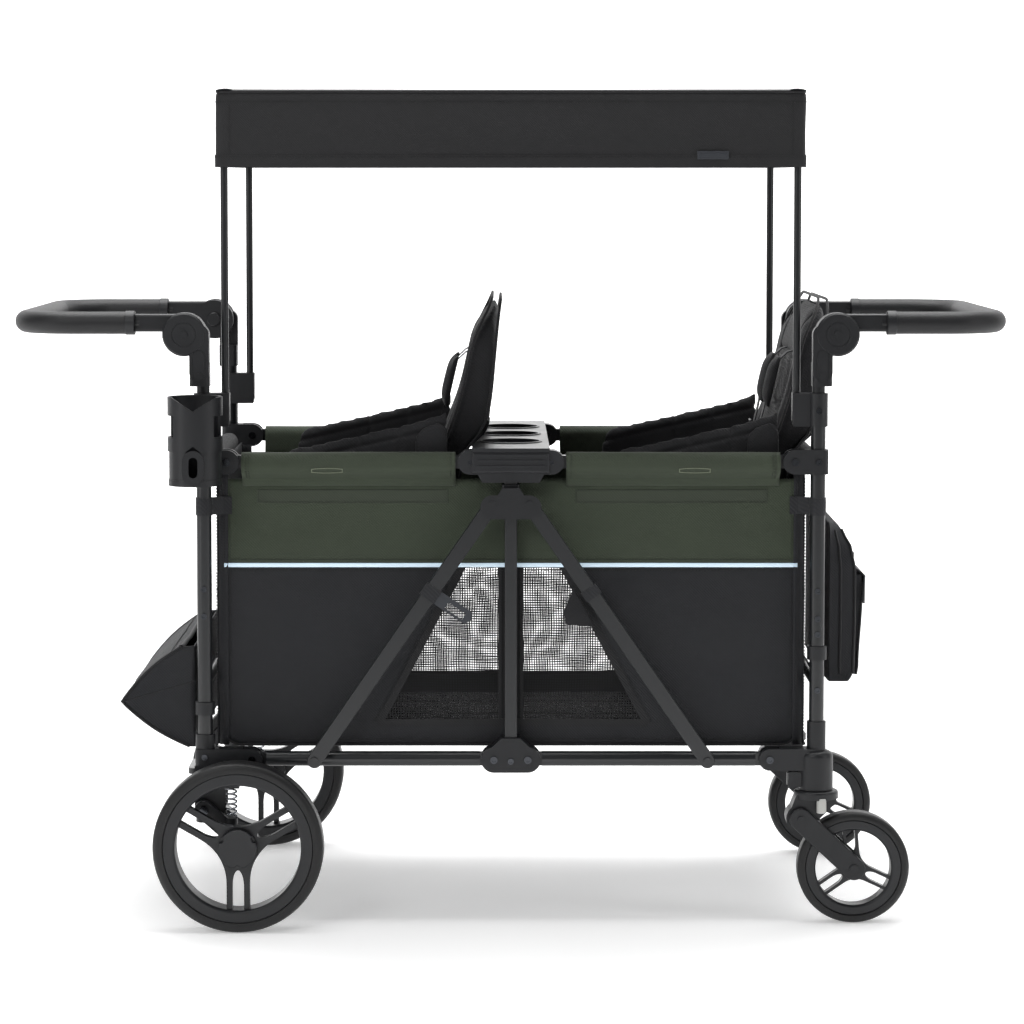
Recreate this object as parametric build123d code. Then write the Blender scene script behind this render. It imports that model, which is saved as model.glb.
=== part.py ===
"""Folding two-seat pull wagon for children, as separate named pieces.

Millimetres, +Z up. The origin is on the floor under the middle of the wagon. +X is the front,
where the swivel casters are, and -Y is the near side. Most pieces are drawn once, at the rear near
corner, and mirrored to the other corners.
"""
from build123d import *
from math import atan2, cos, degrees, radians, sin, tan
import os

# ---- Driving dimensions -------------------------------------------------------------------------
# End posts
POST_X = 452.0
POST_Y = 265.0
POST_DIAMETER = 22.0
POST_WALL = 1.5
POST_TOP = 776.0
REAR_POST_BOTTOM = 150.0
FRONT_POST_BOTTOM = 262.0

# Side rails and their pivots
RAIL_DIAMETER = 22.0
RAIL_WALL = 1.5
TOP_RAIL_Z = 685.0
BOTTOM_RAIL_Z = 244.0
TOP_PIVOT_INSET = 34.5
CENTRE_TOP_PIVOT_X = 60.0
CENTRE_BOTTOM_PIVOT_X = 25.0
EYE_RADIUS = 14.0
EYE_THICKNESS = 15.0
EYE_NECK_HEIGHT = 19.0
EYE_NECK_LENGTH = 21.0
PLUG_LENGTH = 16.0
PIN_DIAMETER = 6.0

# Brackets and fittings
BRACKET_WIDTH = 31.0
BRACKET_WALL = 3.5
TOP_BRACKET_RADIUS = 18.0
BOTTOM_BRACKET_RADIUS = 15.5
SLEEVE_WALL = 3.5
SLEEVE_TOP = 281.0
COLLAR_WALL = 3.0
COLLAR_BOTTOM = 737.0
COLLAR_TOP = 786.0
SCREW_HEAD_RADIUS = 4.5
SCREW_HEAD_HEIGHT = 2.6
BOLT_HEAD_RADIUS = 5.5
REAR_POST_SCREWS = (457.0, 497.0)
FRONT_POST_SCREWS = (347.0, 430.0, 453.0, 494.0)

# Centre unit
CENTRE_POST_SIDE = 18.4
CENTRE_POST_WALL = 1.5
CENTRE_POST_BOTTOM = 262.0
CENTRE_POST_TOP = 672.0
BOOT_RADIUS = 19.0
BOOT_TOP = 276.0
SLIDER_BOTTOM = 601.0
SLIDER_TOP = 652.0
SLIDER_WIDTH = 26.0
BRACE_TOP_X = 27.3
BRACE_TOP_Z = 624.0
BRACE_REACH = 264.7
BRACE_WIDTH = 22.0
BRACE_THICKNESS = 7.5
EAR_RADIUS = 17.5
EAR_THICKNESS = 3.0
CONSOLE_WIDTH = 114.0
CONSOLE_TOP = 706.0
CONSOLE_BOTTOM = 655.0
CONSOLE_END_RADIUS = 18.0
TRAY_DEPTH = 16.0
CUP_HOLE_DIAMETER = 87.0
CUP_DEPTH = 62.0
CUP_WALL = 2.5
CUP_RIM_HEIGHT = 1.5
CUP_RIM_WIDTH = 4.0
CUP_SPACING = 152.0
CUP_COUNT = 3

# Handles
HANDLE_PIVOT_X = 478.0
HANDLE_PIVOT_Z = 873.0
HANDLE_HUB_RADIUS = 32.0
HANDLE_HUB_THICKNESS = 20.0
HANDLE_END_X = 738.0
HANDLE_ARM_HEIGHT = 26.0
HANDLE_ARM_RISE = 16.0      # of the arm's middle above the pivot
HANDLE_ARM_THICKNESS = 14.0
HANDLE_ARM_LENGTH = 77.0
HANDLE_TUBE_DIAMETER = 16.0
GRIP_DIAMETER = 33.0
GRIP_CORNER_RADIUS = 78.0
HOUSING_WIDTH = 29.0
HOUSING_OFFSET = 4.0        # of the housing from the post, towards the handle
HOUSING_BOTTOM = 797.0
STEM_BOTTOM = 560.0
BUTTON_RADIUS = 11.0
BUTTON_HEIGHT = 5.0

# Canopy
POLE_DIAMETER = 11.0
POLE_X = 420.5
POLE_Y = 255.0
POLE_BOTTOM = 745.0
POLE_SOCKET_EDGE = 1.5      # wall between the pole and the socket's outer edge
SOCKET_RELIEF = 2.4          # cut off the socket's foot, so that the folded rail passes
POLE_TOP = 1218.0
POLE_CORNER_RADIUS = 32.0
CANOPY_HALF_LENGTH = 431.0
CANOPY_HALF_WIDTH = 272.0
CANOPY_TOP = 1230.0
CANOPY_BOTTOM = 1117.0
CANOPY_WALL = 3.0

# Rear wheels and suspension
REAR_WHEEL_X = 399.0
REAR_WHEEL_Y = 329.0
REAR_WHEEL_RADIUS = 125.0
REAR_RIM_RADIUS = 110.0
REAR_RIM_INNER = 92.0
REAR_WHEEL_WIDTH = 44.0
REAR_HUB_RADIUS = 28.5
REAR_AXLE_RADIUS = 6.0
HUB_GROOVE_RADIUS = 18.0
HUB_GROOVE_WIDTH = 1.2
HUB_CAP_HEIGHT = 9.0
HUB_CAP_INSET = 4.0
REAR_ARM_PIVOT_Z = 172.0
REAR_ARM_RADIUS = 14.0
REAR_ARM_THICKNESS = 11.0
REAR_ARM_Y = 292.0
SPRING_SEAT_X = 412.0
SPRING_SEAT_Z = 205.0
BRAKE_PIVOT_X = 430.0
BRAKE_PIVOT_Z = 186.0
BRAKE_BAR_RADIUS = 7.0
PEDAL_LENGTH = 68.0
PEDAL_WIDTH = 90.0

# Swivel casters
CASTER_SLEEVE_WALL = 3.0
CASTER_SLEEVE_TOP = 300.0
CASTER_DOME_RADIUS = 25.0
CASTER_DOME_TOP = 257.0
CASTER_DOME_BOTTOM = 199.0
CASTER_LUG_RADIUS = 16.0
KINGPIN_RADIUS = 6.0
KINGPIN_TOP = 244.0
YOKE_RADIUS = 33.0
YOKE_TOP = 198.0
YOKE_WIDTH = 36.0
YOKE_BOSS_RADIUS = 21.0
CASTER_ARM_BACK = 24.0
CASTER_ARM_PIVOT_Z = 157.0
CASTER_WHEEL_TRAIL = 55.0
CASTER_WHEEL_RADIUS = 83.0
CASTER_RIM_RADIUS = 71.0
CASTER_RIM_INNER = 56.0
CASTER_WHEEL_WIDTH = 34.0
CASTER_WHEEL_TURN = 65.0
CASTER_HUB_RADIUS = 15.0
CASTER_ARM_RADIUS = 16.5
CASTER_ARM_THICKNESS = 8.5
CASTER_AXLE_RADIUS = 4.0
LOCK_WIDTH = 16.0

# Spokes, the same pattern in both sizes of wheel
SPOKE_COUNT = 3
SPOKE_THICKNESS = 14.0
SPOKE_OFFSET = 6.0
SPOKE_WEB = 2.5
REAR_HALF_SPOKE = 17.0
REAR_SPOKE_RIB = 8.5
CASTER_HALF_SPOKE = 11.0
CASTER_SPOKE_RIB = 4.5

# Cup holder on the near rear post
HOLDER_X = 459.0
HOLDER_Y = 327.0
HOLDER_RADIUS = 40.0
HOLDER_WALL = 2.5
HOLDER_STEP = 2.0          # the lower can is that much slimmer than the sleeve
HOLDER_BAND = 706.0         # foot of the sleeve
HOLDER_BOTTOM = 656.0
HOLDER_TOP = 785.0
CLAMP_BOTTOM = 706.0
CLAMP_TOP = 732.0

# Soft goods
PANEL_Y = 246.5
PANEL_THICKNESS = 4.0
PANEL_BOTTOM = 262.0
PANEL_HALF_LENGTH = 424.0
END_PANEL_X = 434.0
SLEEVE_RADIUS = 16.0
SLEEVE_START = 21.5
END_BAR_Z = 680.0
END_BAR_DIAMETER = 16.0
LOW_BAR_Z = 355.0
END_PAD_DIAMETER = 37.0
FLOOR_Z = 262.0
FLOOR_THICKNESS = 8.0
SEAT_Z = 545.0
SEAT_THICKNESS = 40.0
SEAT_DEPTH = 190.0
SEAT_HALF_WIDTH = 214.0
SEAT_SPACING = 491.0
BACK_TOP_X = -14.0
BACK_TOP_Z = 919.0
BACK_BOTTOM_Z = 590.0
BACK_THICKNESS = 42.0
BACK_LEAN = 13.0
BACK_HINGE_Z = 597.0
BACK_HINGE_RADIUS = 6.0
BASKET_HALF_WIDTH = 215.0
BASKET_WALL = 3.0
BASKET_BACK_X = 471.0
BASKET_FOOT_X = 478.0
BASKET_BOTTOM = 252.0
BASKET_TOP = 407.0
BASKET_TIP = (-583.0, 319.0)
BASKET_LIP = (-491.0, 403.0)
BAG_HALF_WIDTH = 200.0
BAG_WALL = 3.0
BAG_BACK_X = 475.0
BAG_FACE_X = 521.0
BAG_BOTTOM = 347.0
BAG_TOP = 590.0
POCKET_FACE_X = 533.0
POCKET_TOP = 511.0
POCKET_INSET = 15.0

# Clearances
RUNNING = 0.05    # radial, pins and shafts in their holes
GAP = 0.5         # between faces that pass each other

# ---- Worked out from the driving dimensions ------------------------------------------------------
RAIL_LENGTH = POST_X - TOP_PIVOT_INSET - CENTRE_TOP_PIVOT_X
TOP_PIVOT_X = POST_X - TOP_PIVOT_INSET
BOTTOM_PIVOT_X = CENTRE_BOTTOM_PIVOT_X + RAIL_LENGTH
POST_RADIUS = POST_DIAMETER / 2
RAIL_RADIUS = RAIL_DIAMETER / 2
STEM_RADIUS = POST_RADIUS - POST_WALL - RUNNING
PIN_RADIUS = PIN_DIAMETER / 2
HALF_BRACKET = BRACKET_WIDTH / 2
BRACKET_FACE = POST_Y + HALF_BRACKET
BRACE_FOOT_X = CENTRE_BOTTOM_PIVOT_X + BRACE_REACH
BRACE_INNER_FACE = BRACKET_FACE + 1.0
BRACE_OUTER_FACE = BRACE_INNER_FACE + BRACE_THICKNESS
HANDLE_ARM_Z = HANDLE_PIVOT_Z + HANDLE_ARM_RISE
HANDLE_ARM_Y = POST_Y - HANDLE_HUB_THICKNESS / 2 + 4.0


# ---- Drawing helpers -----------------------------------------------------------------------------
def block(x0, x1, y0, y1, z0, z1):
    """Box between two opposite corners."""
    middle = Pos((x0 + x1) / 2, (y0 + y1) / 2, (z0 + z1) / 2)
    return middle * Box(abs(x1 - x0), abs(y1 - y0), abs(z1 - z0))


def column(x, y, z0, z1, radius):
    """Upright round bar."""
    return Pos(x, y, (z0 + z1) / 2) * Cylinder(radius, abs(z1 - z0))


def disc(x, z, y0, y1, radius):
    """Round bar along Y."""
    return Pos(x, (y0 + y1) / 2, z) * Rot(90, 0, 0) * Cylinder(radius, abs(y1 - y0))


def bar_along_x(x0, x1, y, z, radius):
    """Round bar along X."""
    return Pos((x0 + x1) / 2, y, z) * Rot(0, 90, 0) * Cylinder(radius, abs(x1 - x0))


def plate(flat, y0, y1):
    """A flat shape drawn in X and Z, solid from y0 to y1."""
    high = max(y0, y1)
    plane = Plane((0, high, 0), x_dir=(1, 0, 0), z_dir=(0, -1, 0))
    return extrude(plane * flat, abs(y1 - y0))


def outline(*points):
    """Polygon through the points, whichever way round they are given."""
    following = points[1:] + points[:1]
    turned = sum(a[0] * b[1] - b[0] * a[1] for a, b in zip(points, following))
    return Polygon(*(points if turned > 0 else points[::-1]), align=None)


def link(start, end, radius):
    """Flat bar with round ends, from one point to another."""
    run, rise = end[0] - start[0], end[1] - start[1]
    length = (run * run + rise * rise) ** 0.5
    middle = Pos((start[0] + end[0]) / 2, (start[1] + end[1]) / 2)
    return middle * Rot(0, 0, degrees(atan2(rise, run))) * SlotCenterToCenter(length, 2 * radius)


def solids(*pieces):
    """Every solid of the pieces, in one flat list."""
    return [solid for piece in pieces for solid in ShapeList([piece]).solids()]


def both_sides(*pieces):
    """The pieces, drawn at -Y, and their mirror images at +Y."""
    near = solids(*pieces)
    return near + [solid.mirror(Plane.XZ) for solid in near]


def to_front(pieces):
    """Mirror images, at the front, of pieces drawn at the rear."""
    return [piece.mirror(Plane.YZ) for piece in solids(*pieces)]


def save(name, *pieces):
    """Write one node to its STEP file."""
    found = [solid for group in pieces for solid in solids(*group)]
    shape = found[0] if len(found) == 1 else Compound(children=found)
    export_step(shape, f"parts/{name}.step")


def save_both_ends(name, pieces):
    """Write a node of the rear end and its mirror image for the front end."""
    save(f"rear_{name}", pieces)
    save(f"front_{name}", to_front(pieces))


def bolt(x, z, y_head, y_nut):
    """Pivot bolt along Y: a shank with a head at one end and a nut at the other."""
    out = -1 if y_head < y_nut else 1
    shank = disc(x, z, y_head, y_nut, PIN_RADIUS)
    head = disc(x, z, y_head, y_head + out * SCREW_HEAD_HEIGHT, BOLT_HEAD_RADIUS)
    socket = disc(x, z, y_head + out * 1.2, y_head + out * 3.0, BOLT_HEAD_RADIUS / 2)
    nut = disc(x, z, y_nut, y_nut - out * SCREW_HEAD_HEIGHT, BOLT_HEAD_RADIUS)
    return shank + head + nut - socket


def screw_head(x, y, z):
    """Head of a screw that is driven into a post from the outside."""
    head = disc(x, z, y, y - SCREW_HEAD_HEIGHT, SCREW_HEAD_RADIUS)
    return head - disc(x, z, y - 1.2, y - 3.0, SCREW_HEAD_RADIUS / 2)


# ---- Posts, brackets and cross members -----------------------------------------------------------
def post(bottom):
    tube = column(-POST_X, -POST_Y, bottom, POST_TOP, POST_RADIUS)
    return tube - column(-POST_X, -POST_Y, bottom - 1, POST_TOP + 1, POST_RADIUS - POST_WALL)


def post_hole(bottom, top, clearance=RUNNING):
    return column(-POST_X, -POST_Y, bottom, top, POST_RADIUS + clearance)


def eye_slot(pivot_x, z, direction, top, bottom):
    """Space for a rail's eye: from behind the eye out past the cheeks, towards direction."""
    back = pivot_x - direction * (EYE_RADIUS + 1.0)
    front = pivot_x + direction * 40.0
    half = EYE_THICKNESS / 2 + GAP
    low, high = sorted((back, front))
    return block(low, high, -POST_Y - half, -POST_Y + half, z + bottom, z + top)


def pivot_bracket(pivot_x, z, radius):
    """Clevis round the near rear post that holds the eye of a side rail."""
    back = -POST_X - POST_RADIUS - BRACKET_WALL
    flat = Pos((back - pivot_x) / 2, z) * Rectangle(-pivot_x - back, 2 * radius)
    flat += Pos(-pivot_x, z) * Circle(radius)
    body = plate(flat, -BRACKET_FACE, -BRACKET_FACE + BRACKET_WIDTH)
    body = fillet(body.edges().filter_by(Axis.Z).group_by(Axis.X)[0], 7.0)
    body -= post_hole(z - radius - 1, z + radius + 1)
    body -= eye_slot(-pivot_x, z, 1, radius + 1, -radius - 1)
    return body - disc(-pivot_x, z, -BRACKET_FACE - 1, -BRACKET_FACE + BRACKET_WIDTH + 1,
                       PIN_RADIUS + RUNNING)


def sleeve(bottom, top, wall):
    """Round sleeve on the near rear post."""
    body = column(-POST_X, -POST_Y, bottom, top, POST_RADIUS + wall)
    return body - post_hole(bottom - 1, top + 1)


def pole_collar():
    """Collar at the post's top: the handle's stem slides in it, and a canopy pole stands beside it."""
    body = column(-POST_X, -POST_Y, COLLAR_BOTTOM, COLLAR_TOP, POST_RADIUS + COLLAR_WALL)
    edge = -POLE_X + POLE_DIAMETER / 2 + POLE_SOCKET_EDGE
    floor = POLE_BOTTOM
    socket = block(-POST_X, edge, -POST_Y, -POLE_Y + POLE_DIAMETER / 2 + 2.0,
                   COLLAR_BOTTOM, COLLAR_TOP)
    socket += block(-POST_X, edge, -POST_Y - 6.0, -POST_Y, COLLAR_BOTTOM, COLLAR_TOP)
    body += fillet(socket.edges().filter_by(Axis.Z).group_by(Axis.X)[-1], 2.0)
    body -= post_hole(COLLAR_BOTTOM - 1, POST_TOP + 0.2)
    body -= column(-POST_X, -POST_Y, POST_TOP, COLLAR_TOP + 1, STEM_RADIUS + RUNNING)
    relief = outline((edge + 1, COLLAR_BOTTOM - 1), (edge + 1, floor), (edge, floor),
                     (edge - SOCKET_RELIEF, COLLAR_BOTTOM - 1))
    body -= plate(relief, -POST_Y - 10.0, -POLE_Y + 10.0)
    return body - column(-POLE_X, -POLE_Y, floor, COLLAR_TOP + 1, POLE_DIAMETER / 2 + RUNNING)


def rear_lower_bracket():
    """Lower bracket: the rail's clevis, the post's long sleeve, and the arm and brake mounts."""
    body = pivot_bracket(BOTTOM_PIVOT_X, BOTTOM_RAIL_Z, BOTTOM_BRACKET_RADIUS)
    body += sleeve(REAR_POST_BOTTOM, SLEEVE_TOP, SLEEVE_WALL)
    gusset = Pos(-POST_X + 8.0, 200.0) * Rectangle(46.0, 70.0)
    body += plate(gusset, -BRACKET_FACE, -BRACKET_FACE + 4.0)
    inner_arm_face = -REAR_ARM_Y + REAR_ARM_THICKNESS / 2 + GAP
    body += disc(-POST_X, REAR_ARM_PIVOT_Z, -POST_Y, inner_arm_face, REAR_ARM_RADIUS - 1.0)
    body += block(-SPRING_SEAT_X - 12.0, -SPRING_SEAT_X + 12.0, -REAR_ARM_Y - 9.0,
                  -BRACKET_FACE + 1.0, SPRING_SEAT_Z, SPRING_SEAT_Z + 38.0)
    ear = block(-POST_X, -BRAKE_PIVOT_X + 10.0, -POST_Y + 8.0, -POST_Y + 16.0,
                BRAKE_PIVOT_Z - 10.0, BRAKE_PIVOT_Z + 10.0)
    body += ear
    body -= disc(-BRAKE_PIVOT_X, BRAKE_PIVOT_Z, -POST_Y, -POST_Y + 20.0,
                 BRAKE_BAR_RADIUS + RUNNING)
    body -= post_hole(REAR_POST_BOTTOM - 1, SLEEVE_TOP + 1)
    return body - disc(-POST_X, REAR_ARM_PIVOT_Z, -BRACKET_FACE - 30, -POST_Y - POST_RADIUS - 0.5,
                       PIN_RADIUS)


def rear_fittings():
    return both_sides(
        pivot_bracket(TOP_PIVOT_X, TOP_RAIL_Z, TOP_BRACKET_RADIUS),
        rear_lower_bracket(),
        pole_collar(),
        sleeve(310.0, 329.0, SLEEVE_WALL),
    )


def front_fittings():
    pieces = both_sides(
        pivot_bracket(TOP_PIVOT_X, TOP_RAIL_Z, TOP_BRACKET_RADIUS),
        pole_collar(),
        sleeve(392.0, 412.0, SLEEVE_WALL),
    )
    return to_front(pieces)


def cross_tubes():
    """Bars across the end: the padded one at the top, and one low down."""
    radius = END_BAR_DIAMETER / 2
    between_brackets = POST_Y - HALF_BRACKET
    upper = disc(-POST_X, END_BAR_Z, -between_brackets, between_brackets, radius)
    lower = disc(-POST_X, LOW_BAR_Z, -POST_Y, POST_Y, radius)
    for side in (-1, 1):
        lower -= column(-POST_X, side * POST_Y, LOW_BAR_Z - 30, LOW_BAR_Z + 30,
                        POST_RADIUS + RUNNING)
    return [upper, lower.solids().sort_by(Axis.Y)[len(lower.solids()) // 2]]


def end_bolts(post_screws):
    """The pivot bolts of one near corner, and its screw heads, drawn at the rear."""
    pieces = [bolt(-x, z, -BRACKET_FACE, -BRACKET_FACE + BRACKET_WIDTH)
              for x, z in ((TOP_PIVOT_X, TOP_RAIL_Z), (BOTTOM_PIVOT_X, BOTTOM_RAIL_Z))]
    pieces.append(screw_head(-POST_X, -BRACKET_FACE - RUNNING, TOP_RAIL_Z))
    collar_face = -POST_Y - POST_RADIUS - COLLAR_WALL - RUNNING
    pieces.append(screw_head(-POST_X, collar_face, COLLAR_TOP - 26.0))
    post_face = -POST_Y - POST_RADIUS - RUNNING
    return pieces + [screw_head(-POST_X, post_face, z) for z in post_screws]


# ---- Side rails, braces and centre unit ----------------------------------------------------------
def rail_eye(x, z, direction):
    """Flat eye with a neck and a plug that fills the tube's end. The tube lies towards direction."""
    half = EYE_THICKNESS / 2
    tube_end = x + direction * EYE_NECK_LENGTH
    body = disc(x, z, -POST_Y - half, -POST_Y + half, EYE_RADIUS)
    body += block(x, tube_end, -POST_Y - half, -POST_Y + half,
                  z - EYE_NECK_HEIGHT / 2, z + EYE_NECK_HEIGHT / 2)
    body += bar_along_x(tube_end, tube_end + direction * PLUG_LENGTH, -POST_Y, z,
                        RAIL_RADIUS - RAIL_WALL - 0.02)
    return body - disc(x, z, -POST_Y - 20, -POST_Y + 20, PIN_RADIUS + RUNNING)


def half_rail(outer_x, inner_x, z):
    """Near rear rail: a tube with an eye at each end."""
    start = -outer_x + EYE_NECK_LENGTH
    end = -inner_x - EYE_NECK_LENGTH
    tube = bar_along_x(start, end, -POST_Y, z, RAIL_RADIUS)
    tube -= bar_along_x(start - 1, end + 1, -POST_Y, z, RAIL_RADIUS - RAIL_WALL)
    return tube, rail_eye(-outer_x, z, 1), rail_eye(-inner_x, z, -1)


def bottom_rails():
    """Bottom rails, with the stud that each brace turns on."""
    tube, outer_eye, inner_eye = half_rail(BOTTOM_PIVOT_X, CENTRE_BOTTOM_PIVOT_X, BOTTOM_RAIL_Z)
    stud = disc(-BRACE_FOOT_X, BOTTOM_RAIL_Z, -POST_Y - RAIL_RADIUS + 1.0,
                -BRACE_INNER_FACE + GAP / 2, 9.0)
    stud += disc(-BRACE_FOOT_X, BOTTOM_RAIL_Z, -POST_Y - RAIL_RADIUS, -BRACE_OUTER_FACE - GAP,
                 PIN_RADIUS)
    stud += disc(-BRACE_FOOT_X, BOTTOM_RAIL_Z, -BRACE_OUTER_FACE - GAP,
                 -BRACE_OUTER_FACE - GAP - SCREW_HEAD_HEIGHT, BOLT_HEAD_RADIUS)
    return both_sides(tube + stud, outer_eye, inner_eye)


def top_rails():
    return both_sides(*half_rail(TOP_PIVOT_X, CENTRE_TOP_PIVOT_X, TOP_RAIL_Z))


def brace():
    """Flat brace from the bottom rail up to the slider."""
    flat = link((-BRACE_FOOT_X, BOTTOM_RAIL_Z), (-BRACE_TOP_X, BRACE_TOP_Z), BRACE_WIDTH / 2)
    body = plate(flat, -BRACE_OUTER_FACE, -BRACE_INNER_FACE)
    body = chamfer(body.edges().group_by(Axis.Y)[0], 1.0)
    return body - disc(-BRACE_FOOT_X, BOTTOM_RAIL_Z, -BRACE_OUTER_FACE - 5, -BRACE_INNER_FACE + 5,
                       PIN_RADIUS + RUNNING)


def square_post_hole(z0, z1, clearance):
    half = CENTRE_POST_SIDE / 2 + clearance
    return block(-half, half, -POST_Y - half, -POST_Y + half, z0, z1)


def centre_post():
    """Square upright between the bottom and top pivots."""
    body = square_post_hole(CENTRE_POST_BOTTOM, CENTRE_POST_TOP, 0)
    body = fillet(body.edges().filter_by(Axis.Z), 2.0)
    bore = square_post_hole(CENTRE_POST_BOTTOM - 1, CENTRE_POST_TOP + 1, -CENTRE_POST_WALL)
    return body - bore


def centre_boot():
    """Foot of the centre post: holds the inner eyes of the two bottom rails."""
    flat = link((-CENTRE_BOTTOM_PIVOT_X, BOTTOM_RAIL_Z), (CENTRE_BOTTOM_PIVOT_X, BOTTOM_RAIL_Z),
                   BOOT_RADIUS)
    shoulder = BOOT_RADIUS - 5.0
    flat += outline(
        (-CENTRE_BOTTOM_PIVOT_X - 8.0, BOTTOM_RAIL_Z + shoulder), (-14.0, BOOT_TOP),
        (14.0, BOOT_TOP), (CENTRE_BOTTOM_PIVOT_X + 8.0, BOTTOM_RAIL_Z + shoulder))
    body = plate(flat, -BRACKET_FACE, -BRACKET_FACE + BRACKET_WIDTH)
    for side in (-1, 1):
        x = side * CENTRE_BOTTOM_PIVOT_X
        body -= eye_slot(x, BOTTOM_RAIL_Z, side, EYE_RADIUS + 1, -BOOT_RADIUS - 1)
        body -= disc(x, BOTTOM_RAIL_Z, -POST_Y - 30, -POST_Y + 30, PIN_RADIUS + RUNNING)
    return body - square_post_hole(CENTRE_POST_BOTTOM, BOOT_TOP + 1, 0.02)


def slider_collar():
    """Collar that slides on the centre post, with the ear plate that covers the brace tops."""
    half = SLIDER_WIDTH / 2
    body = block(-half, half, -POST_Y - half, -POST_Y + half, SLIDER_BOTTOM, SLIDER_TOP)
    body = fillet(body.edges().filter_by(Axis.Z), 3.0)
    ear_face = BRACE_OUTER_FACE + 1.0
    body += block(-half + 1.5, half - 1.5, -ear_face, -POST_Y - half + 4.0,
                  SLIDER_BOTTOM, BRACE_TOP_Z + EAR_RADIUS - 4.0)
    ear_x = BRACE_TOP_X
    ears = link((-ear_x, BRACE_TOP_Z - 4.0), (ear_x, BRACE_TOP_Z - 4.0), EAR_RADIUS)
    ears += outline((-ear_x, BRACE_TOP_Z), (-half, SLIDER_TOP - 4.0), (half, SLIDER_TOP - 4.0),
                    (ear_x, BRACE_TOP_Z))
    body += plate(ears, -ear_face - EAR_THICKNESS, -ear_face)
    for side in (-1, 1):
        body += disc(side * ear_x, BRACE_TOP_Z, -ear_face - EAR_THICKNESS - 1.6,
                     -ear_face - EAR_THICKNESS, BOLT_HEAD_RADIUS)
    return body - square_post_hole(SLIDER_BOTTOM - 1, SLIDER_TOP + 1, RUNNING * 2)


def console_end():
    """Moulded end of the console: holds the inner eyes of the two top rails."""
    flat = link((-CENTRE_TOP_PIVOT_X, TOP_RAIL_Z), (CENTRE_TOP_PIVOT_X, TOP_RAIL_Z),
                   CONSOLE_END_RADIUS)
    shelf = TOP_RAIL_Z - CONSOLE_END_RADIUS
    flat += outline((-50.0, shelf + 2.0), (-42.0, CONSOLE_BOTTOM), (42.0, CONSOLE_BOTTOM),
                       (50.0, shelf + 2.0))
    body = plate(flat, -BRACKET_FACE, -BRACKET_FACE + BRACKET_WIDTH)
    half = CONSOLE_WIDTH / 2
    face = -BRACKET_FACE - 5.0
    panel = block(-half, half, face, -BRACKET_FACE, shelf + 3.0, CONSOLE_TOP - 6.0)
    body += fillet(panel.edges().group_by(Axis.Y)[0], 2.0)
    for n in range(3):
        z = shelf + 10.0 + 8.0 * n
        body += block(-half + 6.0, half - 6.0, face - 1.5, face + 1.0, z, z + 4.0)
    for side in (-1, 1):
        x = side * CENTRE_TOP_PIVOT_X
        body -= eye_slot(x, TOP_RAIL_Z, side, EYE_RADIUS + 1, -CONSOLE_END_RADIUS - 20)
        body -= disc(x, TOP_RAIL_Z, -BRACKET_FACE - 0.01, -POST_Y + 30, PIN_RADIUS + RUNNING)
    return body - square_post_hole(CONSOLE_BOTTOM - 1, CENTRE_POST_TOP, 0.02)


def cup_well(y):
    """Drop-in cup well with a rim that rests on the tray."""
    radius = CUP_HOLE_DIAMETER / 2
    well = column(0, y, CONSOLE_TOP - CUP_DEPTH - CUP_WALL, CONSOLE_TOP, radius + CUP_WALL)
    well += column(0, y, CONSOLE_TOP, CONSOLE_TOP + CUP_RIM_HEIGHT, radius + CUP_RIM_WIDTH)
    return well - column(0, y, CONSOLE_TOP - CUP_DEPTH, CONSOLE_TOP + 5.0, radius)


def console():
    """Console across the middle: a tray with its two ends, and three cup wells in it."""
    half = CONSOLE_WIDTH / 2
    inner = POST_Y - HALF_BRACKET
    tray = block(-half, half, -inner - 2.0, inner + 2.0, CONSOLE_TOP - TRAY_DEPTH, CONSOLE_TOP)
    tray += block(-half, half, -BRACKET_FACE - 5.0, BRACKET_FACE + 5.0, CONSOLE_TOP - 6.0,
                  CONSOLE_TOP)
    wells = []
    for n in range(CUP_COUNT):
        y = (n - (CUP_COUNT - 1) / 2) * CUP_SPACING
        tray -= column(0, y, CONSOLE_TOP - TRAY_DEPTH - 1, CONSOLE_TOP + 1,
                       CUP_HOLE_DIAMETER / 2 + CUP_WALL + RUNNING)
        wells.append(cup_well(y))
    near_end = console_end()
    return [tray + near_end + near_end.mirror(Plane.XZ), *wells]


def centre_bolts():
    """Pivot bolts of the centre unit, and the screw in each boot."""
    pieces = []
    for side in (-1, 1):
        pieces.append(bolt(side * CENTRE_BOTTOM_PIVOT_X, BOTTOM_RAIL_Z, -BRACKET_FACE,
                           -BRACKET_FACE + BRACKET_WIDTH))
        # the console's end panel covers the outer end of these two
        nut_y = -BRACKET_FACE + BRACKET_WIDTH
        pin = disc(side * CENTRE_TOP_PIVOT_X, TOP_RAIL_Z, -BRACKET_FACE, nut_y, PIN_RADIUS)
        pin += disc(side * CENTRE_TOP_PIVOT_X, TOP_RAIL_Z, nut_y, nut_y + SCREW_HEAD_HEIGHT,
                    BOLT_HEAD_RADIUS)
        pieces.append(pin)
    pieces.append(screw_head(0, -BRACKET_FACE - 0.05, BOTTOM_RAIL_Z - 2.0))
    return both_sides(*pieces)


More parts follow.
